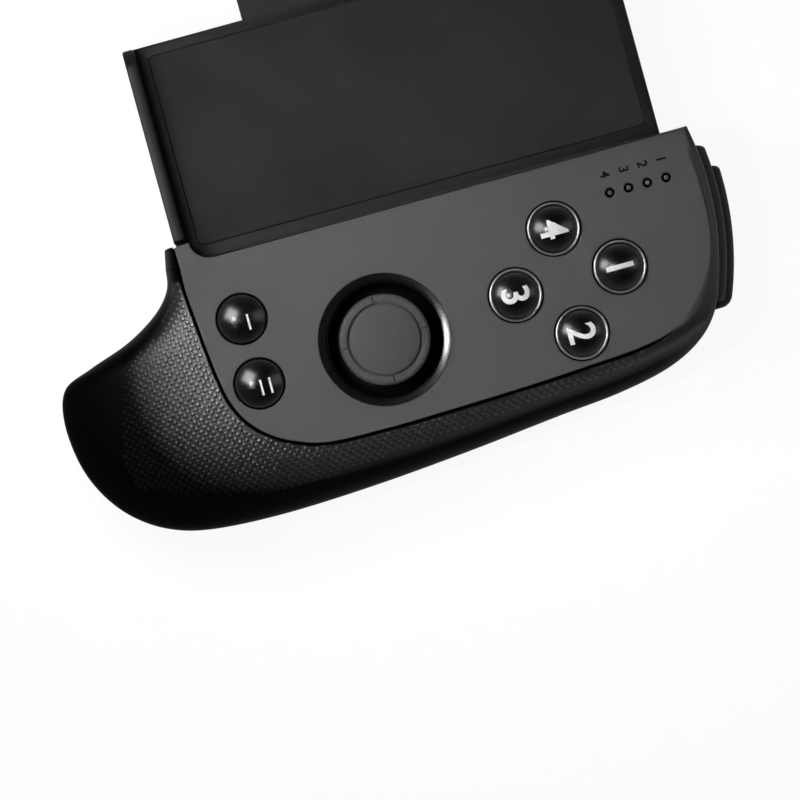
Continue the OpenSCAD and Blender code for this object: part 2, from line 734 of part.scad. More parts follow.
module trigger_spring() {
    start = lug_low[1] + 0.3;
    color("#a9abad") translate([trigger_pivot[0], start, trigger_pivot[1]])
        coil(4, pin_d / 2 + 0.45, 0.25, lug_high[0] - start - 0.1);
}
module shoulder_bracket() {
    shelf_y = [switch_at[1] - 0.4, switch_at[1] + switch_size[1] + 0.4];
    color("#3a3a3c") difference() {
        union() {
            block(bracket_x, [shoulder_pivot[1] + shoulder_boss_r, lug_high[1] + pin_land / 2],
                [chassis_z, bracket_top]);
            block([bracket_x[0], shoulder_pivot[0] + pin_land],
                [shoulder_pivot[1] - pin_land, shoulder_pivot[1] + shoulder_boss_r + eps],
                [bracket_top - pin_seat - lug_t / 4, bracket_top]);
            block([bracket_x[0], switch_at[0] + switch_size[0]], shelf_y,
                [bracket_top, bracket_top + shelf_t]);
            block(bracket_x, shelf_y, [bracket_top - eps, bracket_top + shelf_t]);
            for (lug = [lug_low, lug_high]) {
                block([bracket_x[0], trigger_pivot[0]], lug,
                    [trigger_pivot[1] - lug_r, trigger_pivot[1] + lug_r]);
                pin_y(trigger_pivot[0], trigger_pivot[1], lug_r, lug);
            }
        }
        pin_y(trigger_pivot[0], trigger_pivot[1], pin_d / 2 + press_gap,
            [lug_low[0] - eps, lug_high[1] + eps]);
        post(shoulder_pivot, pin_d / 2 + press_gap, bracket_top - pin_seat, bracket_top + eps);
    }
}

module tray_outline() {
    translate([flange_x[0], flange_y]) square([flange_x[1] - flange_x[0], tray_gap - flange_y + 1]);
    translate([-tray_left, tray_gap]) square([tray_left + tray_right, tray_l - tray_gap]);
    translate([-arm_w / 2, 1]) square([arm_w, arm_l - 1]);
}
module post_holes(high) {
    for (p = [posts[0], posts[2]]) post(p, post_r + tray_gap, cover_z - eps, high);
}
module phone_tray() {
    ledge_y = ear_reach + tray_gap;
    ledge_top = seat_z + ledge_h;
    round_r = ledge_h / 2;
    color("#1f1f21") difference() {
        union() {
            translate([0, 0, channel_z]) linear_extrude(part_z - channel_z) tray_outline();
            translate([-tray_left, 0, 0]) rotate([90, 0, 90]) linear_extrude(ledge_wall) {
                translate([ledge_y, channel_z]) square([tray_l - ledge_y, ledge_top - round_r - channel_z]);
                translate([ledge_y, ledge_top - 2 * round_r])
                    square([tray_l - ledge_y - round_r, 2 * round_r]);
                translate([tray_l - round_r, ledge_top - round_r]) circle(r = round_r);
            }
        }
        block([-channel_w / 2, channel_w / 2], [channel_y, arm_l + eps], [channel_z - eps, channel_top]);
        block([-tray_left + ledge_wall + pad_margin, tray_right - pad_margin],
            [pad_margin, tray_l - pad_margin], [pad_bed_z, part_z + eps]);
        post_holes(part_z + eps);
        for (p = tray_screws_at) post(p, small_screw_r + press_gap, channel_z - eps, channel_top + 0.6);
    }
}
module tray_cover() {
    color("#1a1a1c") difference() {
        translate([0, 0, cover_z]) linear_extrude(cover_t) tray_outline();
        post_holes(channel_z + eps);
        for (p = tray_screws_at) {
            post(p, small_screw_r + run_gap, cover_z - eps, channel_z + eps);
            post(p, small_head_r + run_gap, cover_z - eps, cover_z + small_head_t);
        }
    }
}
module tray_pad() {
    color("#0c0c0d") block(
        [-tray_left + ledge_wall + pad_margin + run_gap, tray_right - pad_margin - run_gap],
        [pad_margin + run_gap, tray_l - pad_margin - run_gap], [pad_bed_z, seat_z]);
}
module tray_screws() {
    color("#2b2b2d") for (p = tray_screws_at) {
        post(p, small_head_r, cover_z, cover_z + small_head_t);
        post(p, small_screw_r, cover_z, channel_top + 0.4);
    }
}
module end_stop_pad() {
    color("#0c0c0d") block([-end_pad_w / 2 + run_gap, end_pad_w / 2 - run_gap], [-grip_pad_t, 0],
        [-end_pad_h / 2 + run_gap, end_pad_h / 2 - run_gap]);
}
stop_y = arm_l - stop_back;
module clamp_slider() {
    color("#8f9194") difference() {
        block([-slider_w / 2, slider_w / 2], [slider_y, jaw_y + jaw_t], [slider_z, slider_top]);
        block([-stop_r - stop_room, stop_r + stop_room],
            [stop_y - clamp_travel - stop_r - stop_room, stop_y + stop_r + stop_room],
            [slider_z - eps, slider_top + eps]);
        block([spring_x - spring_slot_w / 2, spring_x + spring_slot_w / 2], [slider_y - eps, spring_end],
            [slider_z - eps, slider_top + eps]);
        for (p = jaw_screws_at) {
            post(p, small_screw_r + run_gap, slider_z - eps, slider_top + eps);
            post(p, small_head_r + run_gap, slider_z - eps, slider_z + small_head_t);
        }
    }
}
module clamp_jaw() {
    half = [-jaw_w / 2, jaw_w / 2];
    back = jaw_y + jaw_t;
    color("#1f1f21") difference() {
        union() {
            block(half, [jaw_y, back], [slider_top, jaw_lip_z + jaw_lip_t]);
            block(half, [clamp_min - jaw_lip_reach, back], [jaw_lip_z, jaw_lip_z + jaw_lip_t]);
            block(half, [clamp_min - jaw_foot, back], [slider_top, seat_z]);
        }
        for (p = jaw_screws_at)
            post(p, small_screw_r + press_gap, slider_top - eps, slider_top + jaw_screw_l + seat_gap);
    }
}
module jaw_pad() {
    color("#0c0c0d") block([-slider_w / 2, slider_w / 2], [clamp_min, jaw_y],
        [seat_z + run_gap, jaw_lip_z - run_gap]);
}
module jaw_screws() {
    color("#2b2b2d") for (p = jaw_screws_at) {
        post(p, small_head_r, slider_z, slider_z + small_head_t);
        post(p, small_screw_r, slider_z, slider_top + jaw_screw_l);
    }
}
module clamp_spring() {
    start = channel_y + spring_wire_r + 0.05;
    color("#a9abad") translate([spring_x, start, (slider_top + slider_z) / 2])
        coil(spring_turns, spring_coil_r, spring_wire_r, spring_end - start - spring_wire_r - 0.05);
}
module stop_pin() { color("#c6c8ca") post([0, stop_y], stop_r, channel_z, channel_top); }

front_shell();
rear_shell();
faceplate();
chassis();
main_board();
lower_board();
battery();
charge_socket();
case_screws();
stick_bowl();
stick_housing();
gimbal_ring();
stick_hub();
stick_shaft();
stick_dome();
stick_cap();
click_switch();
face_button(face_turns[0]);  // face_button_up
face_button(face_turns[1]);  // face_button_left
face_button(face_turns[2]);  // face_button_down
face_button(face_turns[3]);  // face_button_right
face_ring(face_turns[0]);  // face_ring_up
face_ring(face_turns[1]);  // face_ring_left
face_ring(face_turns[2]);  // face_ring_down
face_ring(face_turns[3]);  // face_ring_right
face_dome(face_turns[0]);  // face_dome_up
face_dome(face_turns[1]);  // face_dome_left
face_dome(face_turns[2]);  // face_dome_down
face_dome(face_turns[3]);  // face_dome_right
menu_button(menu_sides[0]);  // menu_button_left
menu_button(menu_sides[1]);  // menu_button_right
menu_dome(menu_sides[0]);  // menu_dome_left
menu_dome(menu_sides[1]);  // menu_dome_right
light_lenses();
light_chips();
shoulder_button();
shoulder_pin();
shoulder_switch();
trigger();
trigger_pin();
trigger_spring();
shoulder_bracket();
phone_tray();
tray_cover();
tray_pad();
tray_screws();
end_stop_pad();
clamp_slider();
clamp_jaw();
jaw_pad();
jaw_screws();
clamp_spring();
stop_pin();
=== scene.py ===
import json
import math

import bmesh
import bpy
from mathutils import Matrix, Vector
from mathutils.geometry import tessellate_polygon


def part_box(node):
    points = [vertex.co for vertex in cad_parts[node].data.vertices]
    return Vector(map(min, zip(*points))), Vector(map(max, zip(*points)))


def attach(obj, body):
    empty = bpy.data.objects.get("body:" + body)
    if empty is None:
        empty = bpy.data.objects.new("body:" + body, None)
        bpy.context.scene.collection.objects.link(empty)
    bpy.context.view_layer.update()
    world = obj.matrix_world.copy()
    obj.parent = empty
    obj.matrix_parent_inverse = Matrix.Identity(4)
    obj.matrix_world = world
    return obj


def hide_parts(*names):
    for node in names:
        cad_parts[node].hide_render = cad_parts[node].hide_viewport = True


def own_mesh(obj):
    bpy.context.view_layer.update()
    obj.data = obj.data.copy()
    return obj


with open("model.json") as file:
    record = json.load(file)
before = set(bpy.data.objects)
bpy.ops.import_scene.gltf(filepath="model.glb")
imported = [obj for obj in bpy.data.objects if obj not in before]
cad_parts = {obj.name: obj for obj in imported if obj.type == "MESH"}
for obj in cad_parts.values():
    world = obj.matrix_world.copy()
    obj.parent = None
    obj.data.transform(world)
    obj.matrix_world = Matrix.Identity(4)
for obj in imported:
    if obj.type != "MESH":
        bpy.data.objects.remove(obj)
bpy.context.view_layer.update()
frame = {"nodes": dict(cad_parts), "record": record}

# Front shell
# The upper half of the case: one moulding in satin black plastic that rolls from the faceplate's seam
# out to the handle. The case screws hold it, and the faceplate drops into its rim.

MM = 0.001


def linear(code):
    """Linear colour of an sRGB hex code."""
    parts = [int(code[i : i + 2], 16) / 255 for i in (1, 3, 5)]
    return [c / 12.92 if c <= 0.04045 else ((c + 0.055) / 1.055) ** 2.4 for c in parts] + [1.0]


def add(tree, kind, inputs=None, **settings):
    """Adds a node with its settings and inputs. A node among the inputs stands for its first output."""
    node = tree.nodes.new(kind)
    for key, value in settings.items():
        setattr(node, key, value)
    for key, value in (inputs or {}).items():
        if isinstance(value, bpy.types.Node):
            value = value.outputs[0]
        if isinstance(value, bpy.types.NodeSocket):
            tree.links.new(value, node.inputs[key])
        else:
            node.inputs[key].default_value = value
    return node


def maths(tree, operation, *values):
    """The result of a Math node on links or constants."""
    return add(tree, "ShaderNodeMath", dict(enumerate(values)), operation=operation).outputs[0]


def blend(tree, share, a, b, kind="FLOAT"):
    """The result of a Mix node: a where the share is 0, b where it is 1."""
    return add(tree, "ShaderNodeMix", {"Factor": share, "A": a, "B": b}, data_type=kind).outputs["Result"]


def empty_tree(owner):
    """The node tree of a material or a world, with nothing in it yet."""
    owner.use_nodes = True
    owner.node_tree.nodes.clear()
    return owner.node_tree


CLOUD_MM, BUMP_MM, WELD_MM = 14, 0.05, 0.0001


def finish_of(name, colour, rough, grain_mm=0.25, grain=0.15, metal=0.0, shine=0.5, tints=(),
        stretch=(1, 1, 1)):
    """A moulded or metal finish: one colour with a fine grain, its gloss varied in broad clouds.
    A real grain is some hundredths of a millimetre wide. It is drawn coarser, so that it shows.
    Each of tints is (attribute, colour, roughness, shine) for a part of the piece with another finish."""
    made = bpy.data.materials.new(name)
    tree = empty_tree(made)
    place = add(tree, "ShaderNodeTexCoord").outputs["Object"]
    drawn = add(tree, "ShaderNodeMapping", {"Vector": place, "Scale": stretch})
    fine = add(tree, "ShaderNodeTexNoise", {"Vector": drawn, "Scale": 1 / (grain_mm * MM), "Detail": 3.0})
    broad = add(tree, "ShaderNodeTexNoise", {"Vector": place, "Scale": 1 / (CLOUD_MM * MM), "Detail": 2.0})
    gloss = add(tree, "ShaderNodeMapRange", {"Value": broad, "From Min": 0.3, "From Max": 0.7,
        "To Min": rough * 0.93, "To Max": rough * 1.07})
    base = linear(colour)[:3]
    shade = blend(tree, fine, [c * 0.9 for c in base] + [1.0], [c * 1.1 for c in base] + [1.0], "RGBA")
    bump = add(tree, "ShaderNodeBump", {"Height": fine, "Strength": grain, "Distance": BUMP_MM * MM})
    for attribute, other, other_rough, other_shine in tints:
        where = add(tree, "ShaderNodeAttribute", attribute_name=attribute).outputs["Fac"]
        shade = blend(tree, where, shade, linear(other), "RGBA")
        gloss = blend(tree, where, gloss, other_rough)
        if other_shine != shine:
            shine = blend(tree, where, shine, other_shine)
    shader = add(tree, "ShaderNodeBsdfPrincipled", {"Base Color": shade, "Roughness": gloss,
        "Metallic": metal, "Specular IOR Level": shine, "Normal": bump})
    add(tree, "ShaderNodeOutputMaterial", {"Surface": shader})
    return made


def mark(made, name, rule):
    """Stores a value from 0 to 1 on each point, from its place in millimetres."""
    spot = made.data.attributes.new(name, "FLOAT", "POINT")
    spot.data.foreach_set("value", [min(1.0, max(0.0, rule(*(v.co / MM)))) for v in made.data.vertices])


def new_object(name, data):
    """An object in the scene for a mesh, letters, a lamp or a camera."""
    made = bpy.data.objects.new(name, data)
    bpy.context.scene.collection.objects.link(made)
    return made


def solid(name, points, faces, flat=(), weld=False):
    """A mesh object from millimetre points. Faces in flat are shaded flat. Weld merges points that meet."""
    mesh = bpy.data.meshes.new(name)
    mesh.from_pydata([[c * MM for c in p] for p in points], [], faces)
    mesh.polygons.foreach_set("use_smooth", [i not in flat for i in range(len(faces))])
    work = bmesh.new()
    work.from_mesh(mesh)
    if weld:
        bmesh.ops.remove_doubles(work, verts=work.verts, dist=WELD_MM * MM)
    bmesh.ops.recalc_face_normals(work, faces=work.faces)
    work.to_mesh(mesh)
    work.free()
    return new_object(name, mesh)


def join(first, *others):
    """Puts the meshes of the others into the first object."""
    work = bmesh.new()
    work.from_mesh(first.data)
    for other in others:
        work.from_mesh(other.data)
        bpy.data.objects.remove(other)
    work.to_mesh(first.data)
    work.free()
    return first


def plain_mesh(made):
    """The mesh that an object's modifiers, or its letters, give."""
    bpy.context.view_layer.update()
    return bpy.data.meshes.new_from_object(made.evaluated_get(bpy.context.evaluated_depsgraph_get()))


def settle(made):
    """Makes the result of an object's modifiers its own mesh."""
    mesh = plain_mesh(made)
    made.modifiers.clear()
    made.data = mesh


def carve(made, *cutters, grow=()):
    """Adds the objects in grow to the first one, then cuts the others out of it."""
    for tool in (*grow, *cutters):
        step = made.modifiers.new("step", "BOOLEAN")
        step.operation = "UNION" if tool in grow else "DIFFERENCE"
        step.object = tool
        step.solver = "EXACT"
    settle(made)
    made.data.set_sharp_from_angle(angle=math.radians(32))
    for tool in (*grow, *cutters):
        bpy.data.objects.remove(tool)
    return made


def fit(made, finish, body, slot, *nodes):
    """Gives a finished piece its material and its CAD body, and hides the CAD nodes it stands for. The slot
    is not used.
    """
    made.data.materials.clear()
    made.data.materials.append(finish)
    if nodes:
        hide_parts(*nodes)
    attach(made, body)
    return made


def curve(path, steps):
    """Points on a smooth line through the path."""
    out = []
    for i in range(len(path) - 1):
        run = (path[max(i - 1, 0)], path[i], path[i + 1], path[min(i + 2, len(path) - 1)])
        for t in (s / steps for s in range(steps)):
            out.append(tuple(0.5 * (2 * b + (c - a) * t + (2 * a - 5 * b + 4 * c - d) * t * t
                + (3 * b - a - 3 * c + d) * t**3) for a, b, c, d in zip(*run)))
    return out + [tuple(path[-1])]


def arc(u, v, radius, first, last, steps=8):
    """Points on an arc about (u, v), from one angle in degrees to another."""
    angles = [math.radians(first + (last - first) * i / steps) for i in range(steps + 1)]
    return [(u + radius * math.cos(a), v + radius * math.sin(a)) for a in angles]


def inset(points, by, wall=2.0):
    """The outline moved inwards, its straight tray side drawn back by the same amount."""
    out = []
    last = len(points) - 1
    fade = 4 * max(by, wall)
    for i, (x, y) in enumerate(points):
        along = Vector(points[min(i + 1, last)]) - Vector(points[max(i - 1, 0)])
        along.normalize()
        nx, ny = (1, 0) if i == 0 else (-1, 0) if i == last else (-along.y, along.x)
        out.append((x + by * nx, y + by * ny - by * max(0, 1 - (points[0][1] - y) / fade)))
    return out


def mixed(a, b, share):
    """Points between those of two outlines."""
    return [(p[0] + (q[0] - p[0]) * share, p[1] + (q[1] - p[1]) * share) for p, q in zip(a, b)]


def at_height(outline, z):
    """The points of an outline at one height."""
    return [(x, y, z) for x, y in outline]


def rings_to_faces(count, per_ring, closed=True):
    """Faces between rings of points that follow each other, and from the last to the first if closed."""
    faces = []
    for r in range(count if closed else count - 1):
        s = (r + 1) % count
        for i in range(per_ring):
            j = (i + 1) % per_ring
            faces.append((r * per_ring + i, r * per_ring + j, s * per_ring + j, s * per_ring + i))
    return faces


def capped(name, rings):
    """A solid through rings of points that follow each other, with a flat face at each end."""
    per_ring = len(rings[0])
    points = [p for ring in rings for p in ring]
    faces = rings_to_faces(len(rings), per_ring, closed=False)
    faces += [tuple(range(per_ring)), tuple(range(len(points) - per_ring, len(points)))]
    return solid(name, points, faces, (len(faces) - 1, len(faces) - 2))


def box(name, x, y, z):
    """A plain block, used as a cutter."""
    points = [(a, b, c) for c in z for b in y for a in x]
    faces = [(0, 1, 3, 2), (4, 5, 7, 6), (0, 1, 5, 4), (2, 3, 7, 6), (0, 2, 6, 4), (1, 3, 7, 5)]
    return solid(name, points, faces, range(len(faces)))


# Sizes in millimetres: the short end's arc, the straight tray side, and the heights of face, rim and seams.
SHORT_END, SIDE_R, SIDE_Y = 41.0, 45.0, -9.5
END_Y, LIP_Y = -0.3, -0.7
FACE_Z, RIM_Z, PLATE_Z, LEDGE_Z, PART_Z = 4.6, 4.4, 2.6, 1.2, -4.2
WALL, RIM_WALL, RIM_LIP, RIM_BREAK, PART_GAP = 2.0, 1.6, 0.15, 0.3, 0.15
SPAN, WRAP_FROM, WRAP_OVER = 12, 17, 1.6


def side_x(y, r=SIDE_R):
    return SHORT_END - SIDE_R + math.sqrt(r * r - (y - SIDE_Y) ** 2)


# Both outlines run from the handle's corner round the handle and the lower side to the short end.
BODY = curve([(-41.6, END_Y), (-42.3, -3.5), (-45, -6.6), (-50, -9.6), (-56.5, -11.9), (-61, -13.9),
    (-62.5, -18.5), (-62, -25), (-60, -30.4), (-56.5, -35), (-51.5, -38.4), (-45, -40.2), (-34, -40.8),
    (-20, -40.3), (-5, -39.1), (10, -37.5), (20, -36.5), (28, -34.8), (33.5, -32)]
    + [(side_x(y), y) for y in (-28, -22.5, -16, -9.5, -5, END_Y)], SPAN)
FACE = curve([(-39.8, LIP_Y), (-39.9, -3.5), (-39.8, -5.8), (-39.6, -8.2), (-39.4, -10.6), (-39.2, -13),
    (-38.9, -15.8), (-38.5, -19), (-37.8, -22.4), (-36.2, -25.8), (-33.4, -28.8), (-29.6, -31),
    (-24.4, -32.5), (-15, -32.8), (-4, -32.6), (8, -32.2), (17, -31.7), (24.8, -31.1), (30.1, -29.5),
    (34, -26.5), (37.6, -21.7), (39.3, -15.7), (39.5, -9.5), (39.2, -5), (39, LIP_Y)], SPAN)
COUNT = len(BODY)


def wraps(i):
    """How far the faceplate's grey runs over the rim here: all of it on the shoulder and tray sides."""
    return min(1.0, max(0.0, (i / SPAN - WRAP_FROM) / WRAP_OVER))


def flank(inner, outer, top, drop, slope, turn):
    """A point on the rounded flank between two outlines. It leaves the inner one at a slope in degrees."""
    start = math.atan(math.tan(math.radians(slope)) * math.dist(inner, outer) / drop)
    a = start + (math.pi / 2 - start) * turn / 90
    x, y = mixed([inner], [outer], (math.sin(a) - math.sin(start)) / (1 - math.sin(start)))[0]
    return x, y, top - drop * (math.cos(start) - math.cos(a)) / math.cos(start)


SLOPE, EDGE_R = 13, 1.4
TURNS = range(0, 91, 5)
WALL_TURNS = range(90, -1, -15)
rim = [RIM_Z + (FACE_Z - RIM_Z) * wraps(i) for i in range(COUNT)]
drops = [(RIM_Z - PART_Z - 0.5) * (1 - wraps(i)) + EDGE_R * wraps(i) for i in range(COUNT)]
rim_line = inset(FACE, -RIM_LIP)
rim_inner = inset(FACE, RIM_WALL)
body_inner = inset(BODY, WALL)
parting_line = inset(BODY, PART_GAP)
rows = [at_height(FACE, PLATE_Z - 1.5)]
rows.append([(x, y, rim[i] - RIM_BREAK * (1 - wraps(i))) for i, (x, y) in enumerate(FACE)])
for turn in TURNS:
    rows.append([flank(rim_line[i], BODY[i], rim[i], drops[i], SLOPE * (1 - wraps(i)), turn)
        for i in range(COUNT)])
rows.append(at_height(BODY, PART_Z + 0.2))
outer_rows = len(rows)
rows.append(at_height(parting_line, PART_Z))
for turn in WALL_TURNS:
    a = math.radians(turn)
    ring = mixed(rim_inner, body_inner, math.sin(a))
    rows.append(at_height(ring, LEDGE_Z - (LEDGE_Z - PART_Z) * (1 - math.cos(a))))
rows.append(at_height(rim_inner, PLATE_Z - 0.1))
front = solid("front_shell_moulding", [p for row in rows for p in row], rings_to_faces(len(rows), COUNT))


def greyness(z):
    """The faceplate's grey on the rolled edge: full on top, dimmed on the roll as painted shade, gone lower
    down.
    """
    return max(0.0, min(1.0, (z - 4.2) / 0.35), 0.3 * min(1.0, (z + 0.5) / 3))


# The faceplate's grey where it runs over the rim, dimmed down the roll as painted shade.
tone = front.data.attributes.new("tone", "FLOAT", "POINT")
tone.data.foreach_set("value", [wraps(i) * greyness(z) if r < outer_rows else 0.0
    for r, row in enumerate(rows) for i, (x, y, z) in enumerate(row)])

EAR_X, EAR_Y, EAR_R, EAR_FOOT = -37.1, 2.5, 3.0, -2.3


def ear(left, reach, r):
    """Outline of the ear at the tray's corner, with its round hollow."""
    foot = [(left, EAR_FOOT), (EAR_X + EAR_R, EAR_FOOT)]
    return foot + arc(EAR_X + EAR_R, EAR_Y, r, 270, 180, 15) + [(left, reach)]


def offset(loop, by):
    """A closed outline moved to its left by a distance."""
    out = []
    for i, point in enumerate(loop):
        q, p, r = Vector(point), Vector(loop[i - 1]), Vector(loop[(i + 1) % len(loop)])
        a, b = (q - p).normalized(), (r - q).normalized()
        na, nb = Vector((-a.y, a.x)), Vector((-b.y, b.x))
        way = (na + nb).normalized()
        out.append(tuple(q + way * (by / max(0.4, way.dot(na)))))
    return out


def plate(name, outer, holes, low, high, top_edge=0.2, low_edge=0.0, steps=4, place=None):
    """A flat plate with holes. Its edges are rolled over by quarter circles.
    place turns plate coordinates into the case's for a plate that stands on edge or upside down."""
    loops = [list(outer)] + [list(h)[::-1] for h in holes]
    turns = [math.pi / 2 * s / steps for s in range(steps + 1)]
    levels = []
    if low_edge:
        levels += [(low_edge * (1 - math.sin(a)), low + low_edge * (1 - math.cos(a))) for a in turns[:-1]]
    levels.append((0, low + low_edge))
    levels.append((0, high - top_edge))
    levels += [(top_edge * (1 - math.cos(a)), high - top_edge * (1 - math.sin(a))) for a in turns[1:]]
    points, faces, ends = [], [], ([], [])
    for loop in loops:
        n, start = len(loop), len(points)
        for by, z in levels:
            points += [(x, y, z) for x, y in (offset(loop, by) if by else loop)]
        faces += [tuple(start + v for v in f) for f in rings_to_faces(len(levels), n, closed=False)]
        ends[0].append(range(start, start + n))
        ends[1].append(range(start + n * (len(levels) - 1), start + n * len(levels)))
    flat_from = len(faces)
    for end in ends:
        index = [i for loop in end for i in loop]
        faces += [tuple(index[v] for v in tri)
            for tri in tessellate_polygon([[Vector((*points[i][:2], 0)) for i in loop] for loop in end])]
    if place:
        points = [place(*p) for p in points]
    return solid(name, points, faces, range(flat_from, len(faces)))


OPENING_X, SHOULDER_OPENING, TRIGGER_OPENING = (33.6, 47), (-27.15, -2.9), (-28.4, -6.5)
carve(front, box("shoulder_opening", OPENING_X, SHOULDER_OPENING, (-4.7, 2.0)),
    box("trigger_opening", OPENING_X, TRIGGER_OPENING, (-20, PART_Z)),
    box("ear_opening", (-39.8, -33.85), (-2.2, 0), (PLATE_Z, 6)))
ear_rows = []
for share, less in ((0, 0), (0.94, 0), (0.985, 0.1), (1, 0.3)):
    top = mixed([rim_line[0]], [(-39.7, EAR_Y)], share)[0]
    side = mixed([BODY[0]], [(-41.0 + less, EAR_Y)], share)[0]
    crest = RIM_Z - less
    ring = [(*top, PART_Z), (*top, crest)]
    ring += [flank(top, side, crest, crest - PART_Z, SLOPE, turn) for turn in TURNS[1:]]
    ear_rows.append(ring)
ear_strip = capped("ear_strip", ear_rows)
ear_base = plate("ear_base", ear(-40.2, EAR_Y - 0.3, EAR_R), [], PART_Z, PLATE_Z - 0.05, 0.1)
join(front, ear_base, ear_strip)


def handled(z):
    """Where hands polish the grip: from none low on the flank to all at the rim."""
    return (z - 2.2) / 2.2


# Moulded ABS: deep black and nearly dull, with more sheen on the grip, and grey over the faceplate's edge
# that is dimmed on the roll as painted shade.
satin_black = finish_of("satin_black_plastic", "#030303", 0.4, 0.2, 0.03, shine=0.025,
    tints=[("tone", "#48484a", 0.6, 0.5), ("grip", "#040404", 0.4, 0.7)])
mark(front, "grip", lambda x, y, z: min(handled(z), (-2.5 - y) / 2))
fit(front, satin_black, "case", "shell", "front_shell")

# Grip dots
# The handle's upper side is moulded with staggered raised dots, which stop short of its outer edge and
# run on as a narrow strip below the faceplate. They are part of the front shell's tool.

DOT_PITCH, ROW_RISE, DOT_R, DOT_H, DOT_SIDES = 1.16, 0.51, 0.36, 0.065, 10
GRID_X, GRID_Y, GRID_LEFT, GRID_LOW = 80, 70, -62.5, -41
GRID_Z, AREA_Z, REACH = 20, 25, 60


def circle(x, y, r, count=48):
    angles = [math.tau * i / count for i in range(count)]
    return [(x + r * math.cos(a), y + r * math.sin(a)) for a in angles]


def node_tree(name, **inputs):
    """A Geometry Nodes tree with named inputs, the node that gives them, and their identifiers."""
    tree = bpy.data.node_groups.new(name, "GeometryNodeTree")
    tree.interface.new_socket("Geometry", in_out="INPUT", socket_type="NodeSocketGeometry")
    keys = {}
    for label, kind in inputs.items():
        keys[label] = tree.interface.new_socket(label, in_out="INPUT", socket_type=kind).identifier
    tree.interface.new_socket("Geometry", in_out="OUTPUT", socket_type="NodeSocketGeometry")
    return tree, add(tree, "NodeGroupInput").outputs, keys


def end_tree(tree, instances, finish):
    """Ends a tree: its instances become one plain mesh with its material."""
    real = add(tree, "GeometryNodeRealizeInstances", {"Geometry": instances})
    coated = add(tree, "GeometryNodeSetMaterial", {"Geometry": real, "Material": finish})
    add(tree, "NodeGroupOutput", {"Geometry": coated})


def grow_from(name, mesh, tree, keys, **values):
    """A plain mesh object that a tree makes from a mesh and the values of its inputs."""
    made = new_object(name, mesh)
    pattern = made.modifiers.new("pattern", "NODES")
    pattern.node_group = tree
    for label, value in values.items():
        pattern[keys[label]] = value
    settle(made)
    return made


dot_rings = [(1.0, -0.06), (1.0, 0.0), (0.84, DOT_H * 0.5), (0.55, DOT_H * 0.85), (0.2, DOT_H)]
dot_points = [p for share, z in dot_rings for p in at_height(circle(0, 0, DOT_R * share, DOT_SIDES), z)]
dot_faces = rings_to_faces(len(dot_rings), DOT_SIDES, closed=False)
dot_faces.append(tuple(range(len(dot_points) - DOT_SIDES, len(dot_points))))
dot = solid("grip_dot", dot_points, dot_faces)
grip_edge = curve([(-40.7, -3.2), (-42.2, -5), (-45.1, -9.2), (-50.8, -13), (-53.2, -18.7), (-54.9, -25.2),
    (-54.4, -30.6), (-49.6, -33.2), (-40.9, -35.8), (-31.3, -37.2), (0, -34.9), (24.1, -32.6)], 8)
grip_edge += inset(FACE, -0.35)[WRAP_FROM * SPAN : 8 : -1]
grip_area = solid("grip_area", at_height(grip_edge, AREA_Z), [tuple(range(len(grip_edge)))])

dots_tree, given, dots_keys = node_tree("grip_dots", Pitch="NodeSocketFloat", Shell="NodeSocketObject",
    Area="NodeSocketObject", Dot="NodeSocketObject", Finish="NodeSocketMaterial")
grid = add(dots_tree, "GeometryNodeMeshGrid", {"Size X": 1.0, "Size Y": 1.0, "Vertices X": GRID_X,
    "Vertices Y": GRID_Y})
index = add(dots_tree, "GeometryNodeInputIndex").outputs["Index"]
column = maths(dots_tree, "FLOOR", maths(dots_tree, "DIVIDE", index, GRID_Y))
row = maths(dots_tree, "MODULO", index, GRID_Y)
odd = maths(dots_tree, "MODULO", row, 2)
shift = maths(dots_tree, "MULTIPLY_ADD", odd, 0.5, column)
rise = maths(dots_tree, "MULTIPLY", row, ROW_RISE)
across = maths(dots_tree, "MULTIPLY_ADD", shift, given["Pitch"], GRID_LEFT * MM)
up = maths(dots_tree, "MULTIPLY_ADD", rise, given["Pitch"], GRID_LOW * MM)
above = add(dots_tree, "ShaderNodeCombineXYZ", {"X": across, "Y": up, "Z": GRID_Z * MM})
spread = add(dots_tree, "GeometryNodeSetPosition", {"Geometry": grid, "Position": above})
shell_in, area_in, dot_in = (
    add(dots_tree, "GeometryNodeObjectInfo", {"Object": given[label]}).outputs["Geometry"]
    for label in ("Shell", "Area", "Dot"))
over, drop = (
    add(dots_tree, "GeometryNodeRaycast", {"Target Geometry": target, "Ray Direction": (0, 0, way),
        "Ray Length": REACH * MM}).outputs
    for target, way in ((area_in, 1), (shell_in, -1)))
keep_lean = add(dots_tree, "GeometryNodeStoreNamedAttribute", {"Geometry": spread, "Name": "lean",
    "Value": drop["Hit Normal"]}, data_type="FLOAT_VECTOR", domain="POINT")
keep_grip = add(dots_tree, "GeometryNodeStoreNamedAttribute", {"Geometry": keep_lean, "Name": "on",
    "Value": over["Is Hit"]}, data_type="BOOLEAN", domain="POINT")
landed = add(dots_tree, "GeometryNodeSetPosition", {"Geometry": keep_grip, "Position": drop["Hit Position"]})
on = add(dots_tree, "GeometryNodeInputNamedAttribute", {"Name": "on"}, data_type="BOOLEAN")
lean = add(dots_tree, "GeometryNodeInputNamedAttribute", {"Name": "lean"}, data_type="FLOAT_VECTOR")
turned = add(dots_tree, "FunctionNodeAlignRotationToVector", {"Vector": lean.outputs["Attribute"]}, axis="Z")
placed = add(dots_tree, "GeometryNodeInstanceOnPoints", {"Points": landed, "Instance": dot_in,
    "Selection": on.outputs["Attribute"], "Rotation": turned})
end_tree(dots_tree, placed, given["Finish"])

